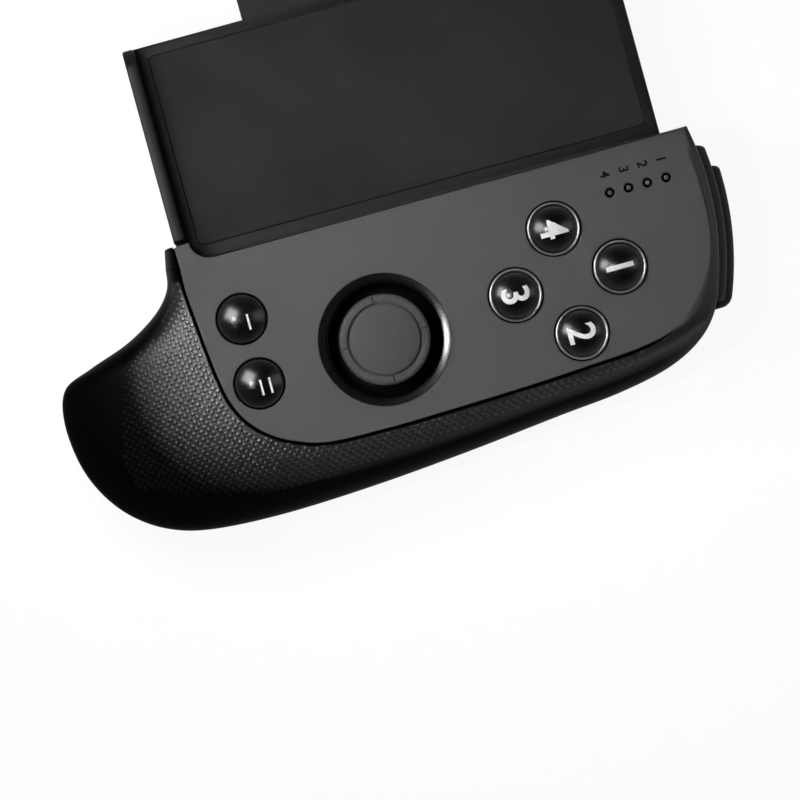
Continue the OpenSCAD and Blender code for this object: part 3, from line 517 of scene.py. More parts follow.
# The same ABS on the dots' tips, which catch small bright glints at the top of the grip.
dot_black = finish_of("grip_dot_plastic", "#040404", 0.4, 0.2, 0.1, shine=0.06,
    tints=[("grip", "#060606", 0.3, 1.0)])
dots = grow_from("grip_dots", bpy.data.meshes.new("grip_dots"), dots_tree, dots_keys, Pitch=DOT_PITCH * MM,
    Shell=front, Area=grip_area, Dot=dot, Finish=dot_black)
for tool in (dot, grip_area):
    bpy.data.objects.remove(tool)
mark(dots, "grip", lambda x, y, z: handled(z))
fit(dots, dot_black, "case", "shell")

# Rear shell
# The lower half of the case: a deep satin black moulding with a flat belly, open on the short end for
# the trigger. Five screws go up through the belly, and the charging socket looks out of the lower side.

BELLY_Z, FLOOR_Z, BELLY_X, BELLY_W, BELLY_L = -18.0, -16.0, 25, 0.86, 0.88


def belly(points):
    """The outline of the flat belly under an outline of the case."""
    start = points[0][1]
    return [(BELLY_X + (x - BELLY_X) * BELLY_W, start + (y - start) * BELLY_L) for x, y in points]


def rounded_down(line, top, low, turns):
    """Rings of points that round down from an outline of the case to the flat belly."""
    rings = []
    for a in (math.radians(turn) for turn in turns):
        ring = mixed(belly(line), line, math.cos(a))
        rings.append(at_height(ring, top - (top - low) * math.sin(a)))
    return rings


rear_rows = rounded_down(body_inner, PART_Z, FLOOR_Z, WALL_TURNS)
rear_rows.append(at_height(parting_line, PART_Z))
rear_rows += rounded_down(BODY, PART_Z - PART_GAP, BELLY_Z, TURNS)
rear = capped("rear_shell_moulding", rear_rows)


def stadium(w, h, steps=12):
    """Outline of a slot with round ends."""
    half = (w - h) / 2
    return arc(half, 0, h / 2, -90, 90, steps) + arc(-half, 0, h / 2, 90, 270, steps)


POSTS = [(-25.5, -5.8), (-26, -27.5), (22.5, -5.8), (2, -28.5), (28.2, -24.9)]
BORE_R, BORE_TOP = 2.1, -16.7
SOCKET_X, SOCKET_Y, SOCKET_Z = -12.4, -38.6, -9.4


def socket_place(u, v, w):
    return (u + SOCKET_X, SOCKET_Y + w, v + SOCKET_Z)


cutters = [plate("counterbore", circle(*p, BORE_R), [], BELLY_Z - 1, BORE_TOP, 0.0) for p in POSTS]
cutters.append(plate("socket_opening", stadium(9.3, 3.6), [], -4, 6, 0.0, place=socket_place))
cutters.append(box("trigger_opening", OPENING_X, TRIGGER_OPENING, (-14.9, -3)))
cutters.append(box("tray_opening", (-37, 35), (-3, 1), (-10.2, -4)))
carve(rear, *cutters)
# Moulded ABS with a deeper texture than the front: black with an even, low sheen.
rear_black = finish_of("satin_black_rear_plastic", "#0b0b0c", 0.45, 0.2, 0.25, shine=0.3)
fit(rear, rear_black, "case", "shell", "rear_shell")

# Case screws
# Five cross-head screws of black oxide steel sit in counterbores in the belly. They clamp rear shell,
# chassis, board and faceplate together.

copies, given, copies_keys = node_tree("copies", Piece="NodeSocketObject", Finish="NodeSocketMaterial")
piece_in = add(copies, "GeometryNodeObjectInfo", {"Object": given["Piece"]}).outputs["Geometry"]
placed = add(copies, "GeometryNodeInstanceOnPoints", {"Points": given["Geometry"], "Instance": piece_in})
end_tree(copies, placed, given["Finish"])


def copies_at(name, piece, places, finish):
    """One mesh of copies of a piece at places in millimetres. The piece itself is used up."""
    spots = bpy.data.meshes.new(name)
    spots.from_pydata([[c * MM for c in p] for p in places], [], [])
    made = grow_from(name, spots, copies, copies_keys, Piece=piece, Finish=finish)
    bpy.data.objects.remove(piece)
    return made


def cross(r, w):
    """Outline of a cross recess, one arm at a time."""
    return [(r, -w), (r, w), (w, w), (w, r), (-w, r), (-w, w), (-r, w), (-r, -w), (-w, -w), (-w, -r),
        (w, -r), (w, -w)]


def screws(name, places, low, head_r, head_t, shank_r, top):
    """Cross-head screws, heads down. The recess goes through most of the head."""
    deep = head_t * 0.7
    head = plate("screw", circle(0, 0, head_r, 32), [cross(head_r * 0.62, head_r * 0.14)], 0, deep, 0.25,
        place=lambda u, v, w: (u, v, low + deep - w))
    web = plate("web", circle(0, 0, head_r, 32), [], low + deep, low + head_t, 0.0)
    shank = plate("shank", circle(0, 0, shank_r, 24), [], low + head_t, top, 0.1)
    return copies_at(name, join(head, web, shank), at_height(places, 0), black_steel)


# Black oxide on steel: a dark metal with a soft, oily reflection.
black_steel = finish_of("black_oxide_steel", "#232325", 0.4, 0.3, 0.1, metal=1.0)
case_screws = screws("case_screw_set", POSTS, -17.9, 1.9, 1.2, 1.0, 2.2)
fit(case_screws, black_steel, "case", "dark_screw", "case_screws")

# Charging socket
# A shell of pressed steel with round ends, soldered to the lower board, and a black contact tongue
# moulded inside it.

# Plated sheet steel: pale and fairly bright.
pressed_steel = finish_of("pressed_steel", "#a9aaac", 0.32, 0.15, 0.1, metal=1.0)
socket = plate("socket_shell", stadium(8.9, 3.2), [stadium(8.3, 2.6)], 0, 7.5, 0.0, 0.1, place=socket_place)
socket_back = plate("socket_back", stadium(8.7, 3.0), [], 6.5, 7.4, 0.0, place=socket_place)
fit(join(socket, socket_back), pressed_steel, "case", "sheet_metal", "charge_socket")
# Glass-filled nylon: dull black.
tongue_black = finish_of("contact_tongue_plastic", "#121213", 0.5)
tongue = plate("socket_tongue", [(-3.3, -0.35), (3.3, -0.35), (3.3, 0.35), (-3.3, 0.35)], [], 1.2, 6.6,
    0.05, 0.12, place=socket_place)
fit(tongue, tongue_black, "case", "switch")

# Faceplate
# A matt dark grey moulding that drops into the front shell's rim. On the tray and shoulder sides it runs
# flush to the edge; elsewhere a fine seam shows. Holes pass the buttons, the stick's bowl and the lights.

STICK, BOWL_R = (-12.4, -19.4), 10.0
FACE_MID, FACE_PITCH = (16.55, -18.15), 8.15
BUTTONS = {"up": 0, "left": 90, "down": 180, "right": 270}
MENUS = {"left": (-32.4, -10.7), "right": (-32.4, -20.8)}
LIGHTS = [(26.2 + 2.93 * i, -7.0) for i in range(4)]
BUTTON_HOLE, MENU_HOLE, LIGHT_HOLE = 4.25, 3.95, 0.75


def button_at(name):
    a = math.radians(BUTTONS[name])
    return FACE_MID[0] + FACE_PITCH * math.cos(a), FACE_MID[1] + FACE_PITCH * math.sin(a)


seam = [0.4 - 0.54 * wraps(i) for i in range(COUNT)]
drawn_in = inset(FACE, 1.0)
edge_points = [mixed([FACE[i]], [drawn_in[i]], seam[i])[0] for i in range(COUNT)]
ear_points = ear(-39.45, EAR_Y - 0.2, EAR_R)[1:]
ear_points[0] = (EAR_X + EAR_R, edge_points[-1][1])
holes = [circle(*button_at(name), BUTTON_HOLE) for name in BUTTONS]
holes += [circle(*p, MENU_HOLE) for p in MENUS.values()]
holes += [circle(*p, LIGHT_HOLE, 24) for p in LIGHTS]
holes.append(circle(*STICK, BOWL_R + 0.05, 128))
face = plate("faceplate_moulding", edge_points + ear_points, holes, PLATE_Z, FACE_Z, 0.14)
# Spark-textured ABS: an even dark grey without highlights.
matt_grey = finish_of("matt_grey_plastic", "#48484a", 0.6, 0.18, 0.35)
fit(face, matt_grey, "case", "faceplate", "faceplate")

# Thumbstick bowl
# A satin black ring round the stick with a shallow dished lip. It is clipped under the faceplate,
# and its lip lies flush with the faceplate's top.

WELL_R, LIP_R, LIP_LEAN = 8.6, 7.0, (5, 15)


def lathe(name, centre, profile, sides=96):
    """A solid of revolution from (radius, height) points."""
    points = [p for r, z in profile for p in at_height(circle(*centre, r, sides), z)]
    made = solid(name, points, rings_to_faces(len(profile), sides, closed=False), weld=True)
    made.data.set_sharp_from_angle(angle=math.radians(38))
    return made


def radius_from(centre, x, y):
    return math.hypot(x - centre[0], y - centre[1])


first_lean = math.radians(LIP_LEAN[0])
lip_centre = (BOWL_R + LIP_R * math.sin(first_lean), FACE_Z - LIP_R * math.cos(first_lean))
bowl_profile = [(BOWL_R, 2.55)] + arc(*lip_centre, LIP_R, 90 + LIP_LEAN[0], 90 + LIP_LEAN[1])
bowl_profile += [(WELL_R + 0.12, 4.34), (WELL_R + 0.05, 4.2), (WELL_R, 3.9), (WELL_R, -0.4)]
bowl_profile += [(BOWL_R + 0.6, -0.4), (BOWL_R + 0.6, 2.55)]
bowl = lathe("stick_bowl_ring", STICK, bowl_profile, 128)
# Satin ABS: black, with one bright crescent on the side away from the light and a paler outer lip.
satin_bowl = finish_of("satin_bowl_plastic", "#040405", 0.2, 0.2, 0.01, shine=0.8,
    tints=[("lip", "#0f0f10", 0.2, 0.8)])
mark(bowl, "lip", lambda x, y, z: (radius_from(STICK, x, y) - 9.3) / 0.7 if z > 4.3 else 0)
fit(bowl, satin_bowl, "case", "bowl", "stick_bowl")

# Thumbstick
# A grey rubber cap with a low crown, a groove round it and four rim notches, pressed on a steel shaft.
# A black dust dome under it closes the bowl at every tilt.

CAP_Z, CAP_R, CAP_EDGE, CROWN_R, NECK_R, NECK_Z = 8.1, 6.9, 0.6, 5.4, 3.0, 4.05
NOTCH_TURN, NOTCH_HALF, NOTCH_DEPTH = 90, 1.7, 0.34
DOME_Z, DOME_R, DOME_IN, DOME_END = -6, 10, 9.2, 21
cap_profile = [(0, NECK_Z), (NECK_R, NECK_Z), (NECK_R, CAP_Z)]
cap_profile += arc(CAP_R - CAP_EDGE, CAP_Z + CAP_EDGE, CAP_EDGE, -90, 0)
cap_profile += arc(CAP_R - CAP_EDGE, CAP_Z + 1.0, CAP_EDGE, 0, 90, 10)
for out, height in ((0.32, 1.6), (0.28, 1.56), (0.26, 1.1), (0.02, 1.1), (0, 1.45), (-0.05, 1.53)):
    cap_profile.append((CROWN_R + out, CAP_Z + height))
for share in (0.96 - 0.08 * k for k in range(13)):
    cap_profile.append((CROWN_R * share, CAP_Z + 2.0 - 0.4 * share**2))
stick_cap = lathe("stick_cap_moulding", STICK, cap_profile, 288)
for vertex in stick_cap.data.vertices:
    x, y, z = vertex.co / MM
    turn = math.degrees(math.atan2(y - STICK[1], x - STICK[0])) % NOTCH_TURN
    on_rim = CROWN_R + 0.27 < radius_from(STICK, x, y) < CAP_R - 0.15 and z > CAP_Z + 1.3
    if on_rim and min(turn, NOTCH_TURN - turn) < NOTCH_HALF:
        vertex.co.z -= NOTCH_DEPTH * MM
# Moulded rubber: matt grey, a shade darker than the faceplate.
cap_rubber = finish_of("matt_cap_rubber", "#3f3f40", 0.62, 0.15, 0.4)
fit(stick_cap, cap_rubber, "stick", "cap_rubber", "stick_cap")
dome_profile = arc(0, DOME_Z, DOME_R, 90, DOME_END, 23) + arc(0, DOME_Z, DOME_IN, DOME_END, 90, 23)
# Moulded acetal: dull black, so that the bowl looks empty.
dome_black = finish_of("dust_dome_plastic", "#060607", 0.5)
fit(lathe("stick_dust_dome", STICK, dome_profile), dome_black, "stick", "bowl", "stick_dome")

# Face buttons
# Four glossy black domes with a bright plated ring round each, guided in the faceplate. Each dome has a
# printed white number that reads upright with the shoulder button at the top. Silicone domes lift them.

FACE_R, CROWN, EDGE, FLANGE_R, FACE_TRAVEL = 3.55, 1.8, 0.7, 4.65, 1.2
RING_IN, RING_R, RING_LOW, SKIN, PRINT_LIFT, GAP_SHADE = 3.6, 4.0, 2.45, 0.6, 0.015, 0.5


def dome_height(r, crown, edge, radius):
    """Height of a spherical button top, which stands crown and edge above the faceplate."""
    ball = (radius**2 + (crown - edge) ** 2) / (2 * (crown - edge))
    return FACE_Z + crown - ball + math.sqrt(ball * ball - r * r)


def button_profile(radius, crown, edge, flange, roll=0.25):
    """A button from its flange up over a rolled rim to its crown."""
    rim = [(radius - roll * k / 4, 0.14 * (1 - k / 4) ** 2) for k in range(5)]
    top = [((radius - roll) * (1 - k / 12), 0) for k in range(1, 13)]
    skirt = [(0, 0.95), (flange, 0.95), (flange, RING_LOW), (radius, RING_LOW)]
    return skirt + [(r, dome_height(r, crown, edge, radius) - sunk) for r, sunk in rim + top]


def printed(name, text, size, centre, height, bold=0.0):
    """A printed figure whose top points along +X, laid on a surface given by height(x, y)."""
    letters = bpy.data.curves.new(name, "FONT")
    letters.body = text
    letters.size = size
    letters.align_x = letters.align_y = "CENTER"
    letters.offset = bold
    letters.resolution_u = 6
    source = new_object(name, letters)
    mesh = plain_mesh(source)
    bpy.data.objects.remove(source)
    work = bmesh.new()
    work.from_mesh(mesh)
    bmesh.ops.remove_doubles(work, verts=work.verts, dist=1e-4)
    middle = [(min(v.co[k] for v in work.verts) + max(v.co[k] for v in work.verts)) / 2 for k in (0, 1)]
    for k in range(-9, 10):
        for normal in ((1, 0, 0), (0, 1, 0)):
            bmesh.ops.bisect_plane(work, geom=work.verts[:] + work.edges[:] + work.faces[:],
                plane_co=Vector((*middle, 0)) + Vector(normal) * k * size / 16, plane_no=normal)
    for vertex in work.verts:
        x, y = vertex.co.y - middle[1] + centre[0], -(vertex.co.x - middle[0]) + centre[1]
        vertex.co = Vector((x, y, height(x, y) + PRINT_LIFT)) * MM
    bmesh.ops.recalc_face_normals(work, faces=work.faces)
    for f in work.faces:
        f.smooth = True
        if f.normal.z < 0:
            f.normal_flip()
    work.to_mesh(mesh)
    work.free()
    return new_object(name, mesh)


def press_dome(node, at, foot_r, top_r):
    """A hollow silicone dome on the board."""
    low, high = (corner[2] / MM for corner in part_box(node))
    profile = [(0, high - SKIN), (top_r - SKIN, high - SKIN), (foot_r - SKIN, low), (foot_r, low)]
    profile += [(foot_r, low + 0.2), (foot_r - 0.35, low + 0.35), (top_r + 0.2, high - 0.4)]
    profile += [(top_r, high - 0.12), (top_r - 0.15, high), (0, high)]
    made = lathe(f"{node}_silicone", at, profile, 48)
    fit(made, grey_silicone, "case", "silicone", node)
    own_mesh(made)


def button_cap(kind, name, at, *shape):
    """A button's glossy dome, with painted shade, dark and dull, below the faceplate in the gap round it."""
    cap = lathe(f"{kind}_button_{name}_cap", at, button_profile(*shape))
    # Painted shade: the part of the button below the faceplate is coloured darker and made dull.
    mark(cap, "shade", lambda x, y, z: FACE_Z - GAP_SHADE - z)
    fit(cap, gloss_black, f"{kind}_{name}", "button", f"{kind}_button_{name}")


# Moulded silicone: soft pale grey, dull.
grey_silicone = finish_of("grey_silicone", "#8d8d8a", 0.7)
# Polished ABS: black with a small round highlight on each dome, and painted shade, darker and dull, where
# the dome sits below the faceplate.
gloss_black = finish_of("gloss_black_plastic", "#060607", 0.22, 0.4, 0.02,
    tints=[("shade", "#020202", 0.9, 0.0)])
# Bright nickel plating: a thin line that catches the light round each button.
bright_plate = finish_of("bright_plating", "#a8a8aa", 0.28, 0.3, 0.02, metal=1.0)
# Pad-printed ink: flat white.
white_print = finish_of("white_print", "#f2f2f0", 0.45, 0.2, 0.05)
ring_profile = [(RING_IN, RING_LOW), (RING_R, RING_LOW), (RING_R, FACE_Z + 0.35)]
ring_profile += arc((RING_IN + RING_R) / 2, FACE_Z + 0.4, (RING_R - RING_IN) / 2, 0, 180)
ring_profile.append((RING_IN, RING_LOW))
for number, name in enumerate(("up", "right", "down", "left"), 1):
    at = button_at(name)
    body = f"face_{name}"
    button_cap("face", name, at, FACE_R, CROWN, EDGE, FLANGE_R)
    plated = lathe(f"face_ring_{name}_plated", at, ring_profile)
    fit(plated, bright_plate, body, "plated_ring", f"face_ring_{name}")
    figure = printed(f"face_figure_{name}", str(number), 6.0, at,
        lambda x, y: dome_height(radius_from(at, x, y), CROWN, EDGE, FACE_R), 0.08)
    fit(figure, white_print, body, "button")
    press_dome(f"face_dome_{name}", at, 4.2, 2.4)

# Menu buttons
# Two glossy black domes without rings, one above the other beside the handle. Each has small printed
# bars, one or two, and a silicone dome under it.

MENU_R, MENU_CROWN, MENU_EDGE, MENU_FLANGE, MENU_TRAVEL = 3.7, 1.4, 0.4, 4.5, 0.8
BAR_HALF, BAR_SIDE, BAR_STEPS, BAR_AT, BAR_LIFT = 1.2, 0.16, 8, (0.9, -0.7), 0.02
along_bar = [BAR_HALF * k / BAR_STEPS for k in range(-BAR_STEPS, BAR_STEPS + 1)]
bar_loop = [(u, -BAR_SIDE) for u in along_bar] + [(u, BAR_SIDE) for u in reversed(along_bar)]
bar_last = len(bar_loop) - 1
bar_faces = [(k, k + 1, bar_last - 1 - k, bar_last - k) for k in range(2 * BAR_STEPS)]
for name, marks in (("left", (0,)), ("right", (-0.7, 0.7))):
    at = MENUS[name]
    body = f"menu_{name}"
    button_cap("menu", name, at, MENU_R, MENU_CROWN, MENU_EDGE, MENU_FLANGE)
    bars = []
    for dx in marks:
        points = []
        for u, v in bar_loop:
            x, y = at[0] + dx + v + BAR_AT[0], at[1] - u + BAR_AT[1]
            height = dome_height(radius_from(at, x, y), MENU_CROWN, MENU_EDGE, MENU_R)
            points.append((x, y, height + BAR_LIFT))
        bars.append(solid(f"menu_bar_{name}", points, bar_faces))
    fit(join(*bars), white_print, body, "button")
    press_dome(f"menu_dome_{name}", at, 4.0, 2.2)

# Lights
# Four clear diffuser pins stand in the faceplate over chips on the board. They are pushed in from below,
# and plain numbers from one to four are printed beside them.

LENS_R, PIN_R, PIN_LOW, FIGURE_SIZE, FIGURE_UP = 0.34, 0.7, -0.3, 2.1, 2.9
lens_profile = [(0, PIN_LOW), (PIN_R, PIN_LOW), (PIN_R, 4.4), (LENS_R + 0.02, 4.42), (LENS_R, 4.46)]
lens_profile += [(LENS_R - 0.08, 4.52), (0, 4.54)]
# Frosted acrylic, unlit: a grey dot in a black ring of painted shadow on its collar.
lens_grey = finish_of("clear_diffuser_plastic", "#58595b", 0.5, 0.3, 0.02,
    tints=[("shade", "#010101", 0.9, 0.0)])
lens = lathe("lens", (0, 0), lens_profile, 32)
lenses = copies_at("light_lens_set", lens, at_height(LIGHTS, 0), lens_grey)
# Painted shadow: the collar round each lens top is coloured black and dull.
mark(lenses, "shade", lambda x, y, z: min(radius_from(p, x, y) for p in LIGHTS) > LENS_R + 0.01)
fit(lenses, lens_grey, "case", "lens", "light_lenses")
# Pad-printed ink: black and dull on the grey plate.
dark_print = finish_of("dark_print", "#050506", 0.5, 0.2, 0.05, shine=0.1)
figures = [printed("light_figures", str(4 - i), FIGURE_SIZE, (x, y + FIGURE_UP), lambda x, y: FACE_Z, 0.05)
    for i, (x, y) in enumerate(LIGHTS)]
fit(join(*figures), dark_print, "case", "faceplate")

# Shoulder button and trigger
# Two satin levers in the short end, both moulded: a black one, and below it one painted grey as painted
# light for the light it catches.
# The upper one swings in on an upright pin, the lower one tips in about a pin along the case, and arms reach
# from each to its pin.

SHOULDER_PIN, TRIGGER_PIN, PIN_HOLE, ARM_R, ARM_TOP = (33.2, -24.8), (38, -6.9), 1.05, 2.2, -4.9
TRIGGER_ARMS, ARM_HALF = (-21, -10.5), 1


def band(name, radius, depth, y, z, edge, runs):
    """A curved bar on the short end's arc. Its edges are rolled, and each end runs out to its inner face."""
    cx = SHORT_END - SIDE_R
    section = []
    for sx, sz, first in ((1, 1, 0), (-1, 1, 90), (-1, -1, 180), (1, -1, 270)):
        section += [(sx, sz, dx, dz) for dx, dz in arc(0, 0, edge, first, first + 90, 4)]
    turns = [math.pi / 2 * k / 6 for k in range(7)]
    start, stop = y[0] + runs[0], y[1] - runs[1]
    sharp = [min(1.0, run / edge) for run in runs]
    stations = [(start - runs[0] * math.cos(t), 1 - sharp[0] * (1 - math.sin(t))) for t in turns]
    stations += [(start + (stop - start) * k / 24, 1.0) for k in range(1, 24)]
    stations += [(stop + runs[1] * math.cos(t), 1 - sharp[1] * (1 - math.sin(t))) for t in reversed(turns)]
    r_mid, z_mid = radius - depth / 2, (z[0] + z[1]) / 2
    rings = []
    for at, full in stations:
        rings.append([])
        for sx, sz, dx, dz in section:
            r = r_mid + sx * (depth / 2 - edge) + dx * full - edge * (1 - full)
            h = z_mid + sz * ((z[1] - z[0]) / 2 - edge) + dz * full
            rings[-1].append((cx + math.sqrt(r * r - (at - SIDE_Y) ** 2), at, h))
    return capped(name, rings)


def along_y(u, v, w):
    return (u, w, v)


# Satin ABS in two tones: a dark lever, and a lighter one painted grey as painted light for the light it
# catches; each has a broad soft highlight along its edge.
satin_shoulder = finish_of("satin_shoulder_plastic", "#1f1f20", 0.48, 0.25, 0.1, shine=0.35)
trigger_painted_lighter = finish_of("trigger_plastic_painted_lighter", "#414142", 0.48, 0.25, 0.1, shine=0.35)
shoulder = band("shoulder_lever", SIDE_R + 1.2, 3.2, (-27.1, -3.4), (-3.5, 1.7), 1.3, (0.15, 0.9))
shoulder_arm = plate("shoulder_arm", [(33.2, -27), (36.8, -27), (36.8, -22.6), (33.2, -22.6), (31.6, -23.6),
    (31, -24.8), (31.6, -26)], [circle(*SHOULDER_PIN, PIN_HOLE, 24)], -3.5, 0.2, 0.2)
fit(join(shoulder, shoulder_arm), satin_shoulder, "shoulder", "shoulder", "shoulder_button")
trigger = band("trigger_lever", SIDE_R + 2.4, 2.2, (-28.2, -7), (-13.5, -4.7), 0.6, (1.3, 0.9))
for y in TRIGGER_ARMS:
    reach = side_x(y, SIDE_R + 0.2) + 0.6
    arm_low = TRIGGER_PIN[1] - ARM_R
    arm = [(reach, arm_low), (reach, ARM_TOP), (TRIGGER_PIN[0], ARM_TOP)]
    arm += arc(*TRIGGER_PIN, ARM_R, 120, 260, 7) + [(TRIGGER_PIN[0], arm_low)]
    pin_hole = circle(*TRIGGER_PIN, PIN_HOLE, 24)
    join(trigger, plate("trigger_arm", arm, [pin_hole], y - ARM_HALF, y + ARM_HALF, 0.0, place=along_y))
fit(trigger, trigger_painted_lighter, "trigger", "shoulder", "trigger")

# Tray
# A satin black moulded tray with a raised ledge along one side, a narrower arm that guides the slider, and
# a screwed cover below. A soft pad is bonded into its floor and another one to the case's end wall.

TRAY_Z, TRAY_LOW, COVER_T, ARM_W, ARM_END = -4.2, -8.8, 1.2, 20.5, 66
PAD_X, PAD_Y, PAD_LOW, PAD_TOP, PAD_GAP = (-35.9, 34.4), (1.6, 31.4), -5.0, -4.0, 0.05
TRAY_SCREWS = [(-30, 8), (-30, 26), (28, 8), (28, 26), (-18.9, 60), (18.9, 60)]
SMALL_SCREW, SMALL_HOLE = (1.4, 0.7, 0.8), 1.45


def rounded(x, y, r, steps=6):
    """A rectangle with round corners."""
    corners = ((x[1] - r, y[0] + r), (x[1] - r, y[1] - r), (x[0] + r, y[1] - r), (x[0] + r, y[0] + r))
    return [p for k, centre in enumerate(corners) for p in arc(*centre, r, 90 * k - 90, 90 * k, steps)]


def along_x(u, v, w):
    return (w, u, v)


def upside_down(u, v, w):
    return (u, v, -w)


tray_outline = [(-36.8, -9.2), (34.8, -9.2), (34.8, -0.28), (36, -0.28), (36, 31), (35.4, 32.4), (34, 33),
    (ARM_W, 33), (ARM_W, ARM_END - 1), (ARM_W - 1, ARM_END), (1 - ARM_W, ARM_END), (-ARM_W, ARM_END - 1),
    (-ARM_W, 33), (-39.2, 33), (-39.2, 0.2), (-36.8, 0.2)]
ledge = [(2.7, TRAY_LOW), (33, TRAY_LOW), (33, -1)] + arc(30, -1, 3, 8, 88, 10)
ledge += [(30, 2), (3.3, 2), (2.7, 1.4)]
ledge_wall = plate("tray_ledge", ledge, [], -39.3, -37.5, 0.45, 0.3, place=along_x)
pad_recess = plate("pad_recess", rounded(PAD_X, PAD_Y, 1.0), [], PAD_LOW, PAD_TOP, 0.0)
slider_channel = box("slider_channel", (-17.3, 17.3), (-7, 70), (-9, -6))
tray = plate("tray_moulding", tray_outline, [], TRAY_LOW, TRAY_Z, 0.3)
carve(tray, pad_recess, slider_channel, grow=[ledge_wall])
# Moulded ABS: black with a low, even sheen and a fine texture.
satin_tray = finish_of("satin_black_tray_plastic", "#0c0c0d", 0.45, 0.2, 0.3, shine=0.25)
fit(tray, satin_tray, "case", "tray", "phone_tray")
cover_holes = [circle(*p, SMALL_HOLE, 32) for p in TRAY_SCREWS]
cover = plate("tray_cover_plate", tray_outline, cover_holes, -TRAY_LOW, COVER_T - TRAY_LOW, 0.3,
    place=upside_down)
fit(cover, satin_tray, "case", "tray", "tray_cover")
tray_screws = screws("tray_screw_set", TRAY_SCREWS, -9.95, *SMALL_SCREW, -5.6)
fit(tray_screws, black_steel, "case", "dark_screw", "tray_screws")
# Moulded rubber: black and quite dull, with a soft grain.
soft_black = finish_of("soft_pad_rubber", "#0b0b0b", 0.75, 0.3, 0.5)
pad_x, pad_y = ((first + PAD_GAP, last - PAD_GAP) for first, last in (PAD_X, PAD_Y))
pad = plate("tray_soft_pad", rounded(pad_x, pad_y, 0.95), [], PAD_LOW, PAD_TOP, 0.2)
fit(pad, soft_black, "case", "soft_pad", "tray_pad")
end_pad = plate("end_stop_strip", rounded((-31.95, 31.95), (-2.35, 2.35), 0.8), [], -1.2, 0, 0.25,
    place=along_y)
fit(end_pad, soft_black, "case", "soft_pad", "end_stop_pad")

# Sliding clamp
# A brushed steel slider runs in the tray's arm and carries a moulded black jaw with a soft ribbed pad,
# held by two screws. Its return spring and stop pin are inside the arm.

SLIDE_LOW, SLIDE_TOP, SLIDE_W, SLIDE_END = -8.6, -6.2, 17, 116.2
JAW_W, JAW_FACE, JAW_SCREWS = 20, 110.0, [(-10, 113.7), (10, 113.7)]
RIB_W, RIB_T, RIBS = 16.8, 0.9, (-3.6, -2.1, -0.6, 0.9, 2.4, 3.6)
slots = [rounded((-1.5, 1.5), (3, 62), 1.4), rounded((7.4, 10.6), (-5.5, 40), 1.0)]
slots += [circle(*p, SMALL_HOLE, 32) for p in JAW_SCREWS]
slider = plate("clamp_slide_plate", rounded((-SLIDE_W, SLIDE_W), (-6, SLIDE_END), 0.8), slots, -SLIDE_TOP,
    -SLIDE_LOW, 0.2, 0.2, place=upside_down)
# Brushed steel: mid grey, its reflections drawn out across the fine lines that run along the slider.
brushed_steel = finish_of("brushed_steel", "#85878a", 0.36, 0.12, 0.5, metal=1.0, stretch=(1, 0.02, 1))
fit(slider, brushed_steel, "clamp", "sheet_metal", "clamp_slider")
jaw_screws = screws("jaw_screw_set", JAW_SCREWS, SLIDE_LOW, *SMALL_SCREW, -1.6)
fit(jaw_screws, black_steel, "clamp", "dark_screw", "jaw_screws")
jaw_outline = [(101, -6.2), (115.6, -6.2), (SLIDE_END, -5.6), (SLIDE_END, 4.8), (115.8, 5.6), (115, 6.0),
    (109.4, 6.0), (108.6, 5.6), (108.4, 5.1), (108.8, 4.7), (111.2, 4.7), (111.2, -4.0), (101.8, -4.0),
    (101.2, -4.6)]
jaw = plate("clamp_jaw_moulding", jaw_outline, [], -JAW_W, JAW_W, 0.5, 0.5, place=along_x)
fit(jaw, satin_tray, "clamp", "tray", "clamp_jaw")
jaw_pad = plate("jaw_soft_pad", rounded((-17, 17), (-3.95, 4.65), 0.5), [], JAW_FACE + 0.5, JAW_FACE + 1.2,
    0.0, 0.1, place=along_y)
rib = plate("rib", rounded((-RIB_W, RIB_W), (0, RIB_T), 0.3, 3), [], JAW_FACE, JAW_FACE + 0.6, 0.0, 0.25,
    place=along_y)
ribs = copies_at("jaw_ribs", rib, [(0, 0, z) for z in RIBS], soft_black)
fit(join(jaw_pad, ribs), soft_black, "clamp", "soft_pad", "jaw_pad")

# Inner pieces
# What is left inside the case keeps its CAD shape: chassis and bracket, boards, battery, stick module,
# switches, pins and springs. Each takes the plain finish of its material slot.

inner = {
    # Moulded plastics: dull, dark for the frame and switches, pale for the gimbal.
    "frame_plastic": finish_of("chassis_plastic", "#38383a", 0.55),
    "pale_plastic": finish_of("pale_gimbal_plastic", "#dedcd4", 0.5),
    "switch": finish_of("switch_plastic", "#262628", 0.5),
    # Green lacquer on the boards, and cream resin on the light chips: smooth and slightly glossy.
    "board": finish_of("solder_mask", "#1f4a32", 0.35),
    "chip": finish_of("light_chip_resin", "#e6dfbf", 0.3),
    # Metals: silvery foil, pressed sheet, ground pins and drawn wire, all fairly bright.
    "battery": finish_of("battery_foil", "#a5a8ac", 0.35, metal=0.8),
    "sheet_metal": pressed_steel,
    "steel": finish_of("ground_steel", "#bfc1c3", 0.25, metal=1.0),
    "spring_steel": finish_of("spring_wire", "#a0a2a4", 0.3, metal=1.0),
}
slot_of = {part["node"]: part["material_slot"] for part in frame["record"]["subparts"]}
for name, node in frame["nodes"].items():
    if not node.hide_render and slot_of[name] in inner:
        node.data.materials.clear()
        node.data.materials.append(inner[slot_of[name]])

# Floor, light and camera
# A white studio floor under the belly, five soft boxes and a dim surround that looks pale where it is
# mirrored. The camera looks straight down on the face, turned as in the photograph.

FLOOR_HALF, FLOOR_TOP, PAPER_GLOW, CAMERA_GLOW = 3000, -18.05, 0.35, 0.58
floor_corners = [(-1, -1), (1, -1), (1, 1), (-1, 1)]
floor = solid("studio_floor", [(x * FLOOR_HALF, y * FLOOR_HALF, FLOOR_TOP) for x, y in floor_corners],
    [(0, 1, 2, 3)])


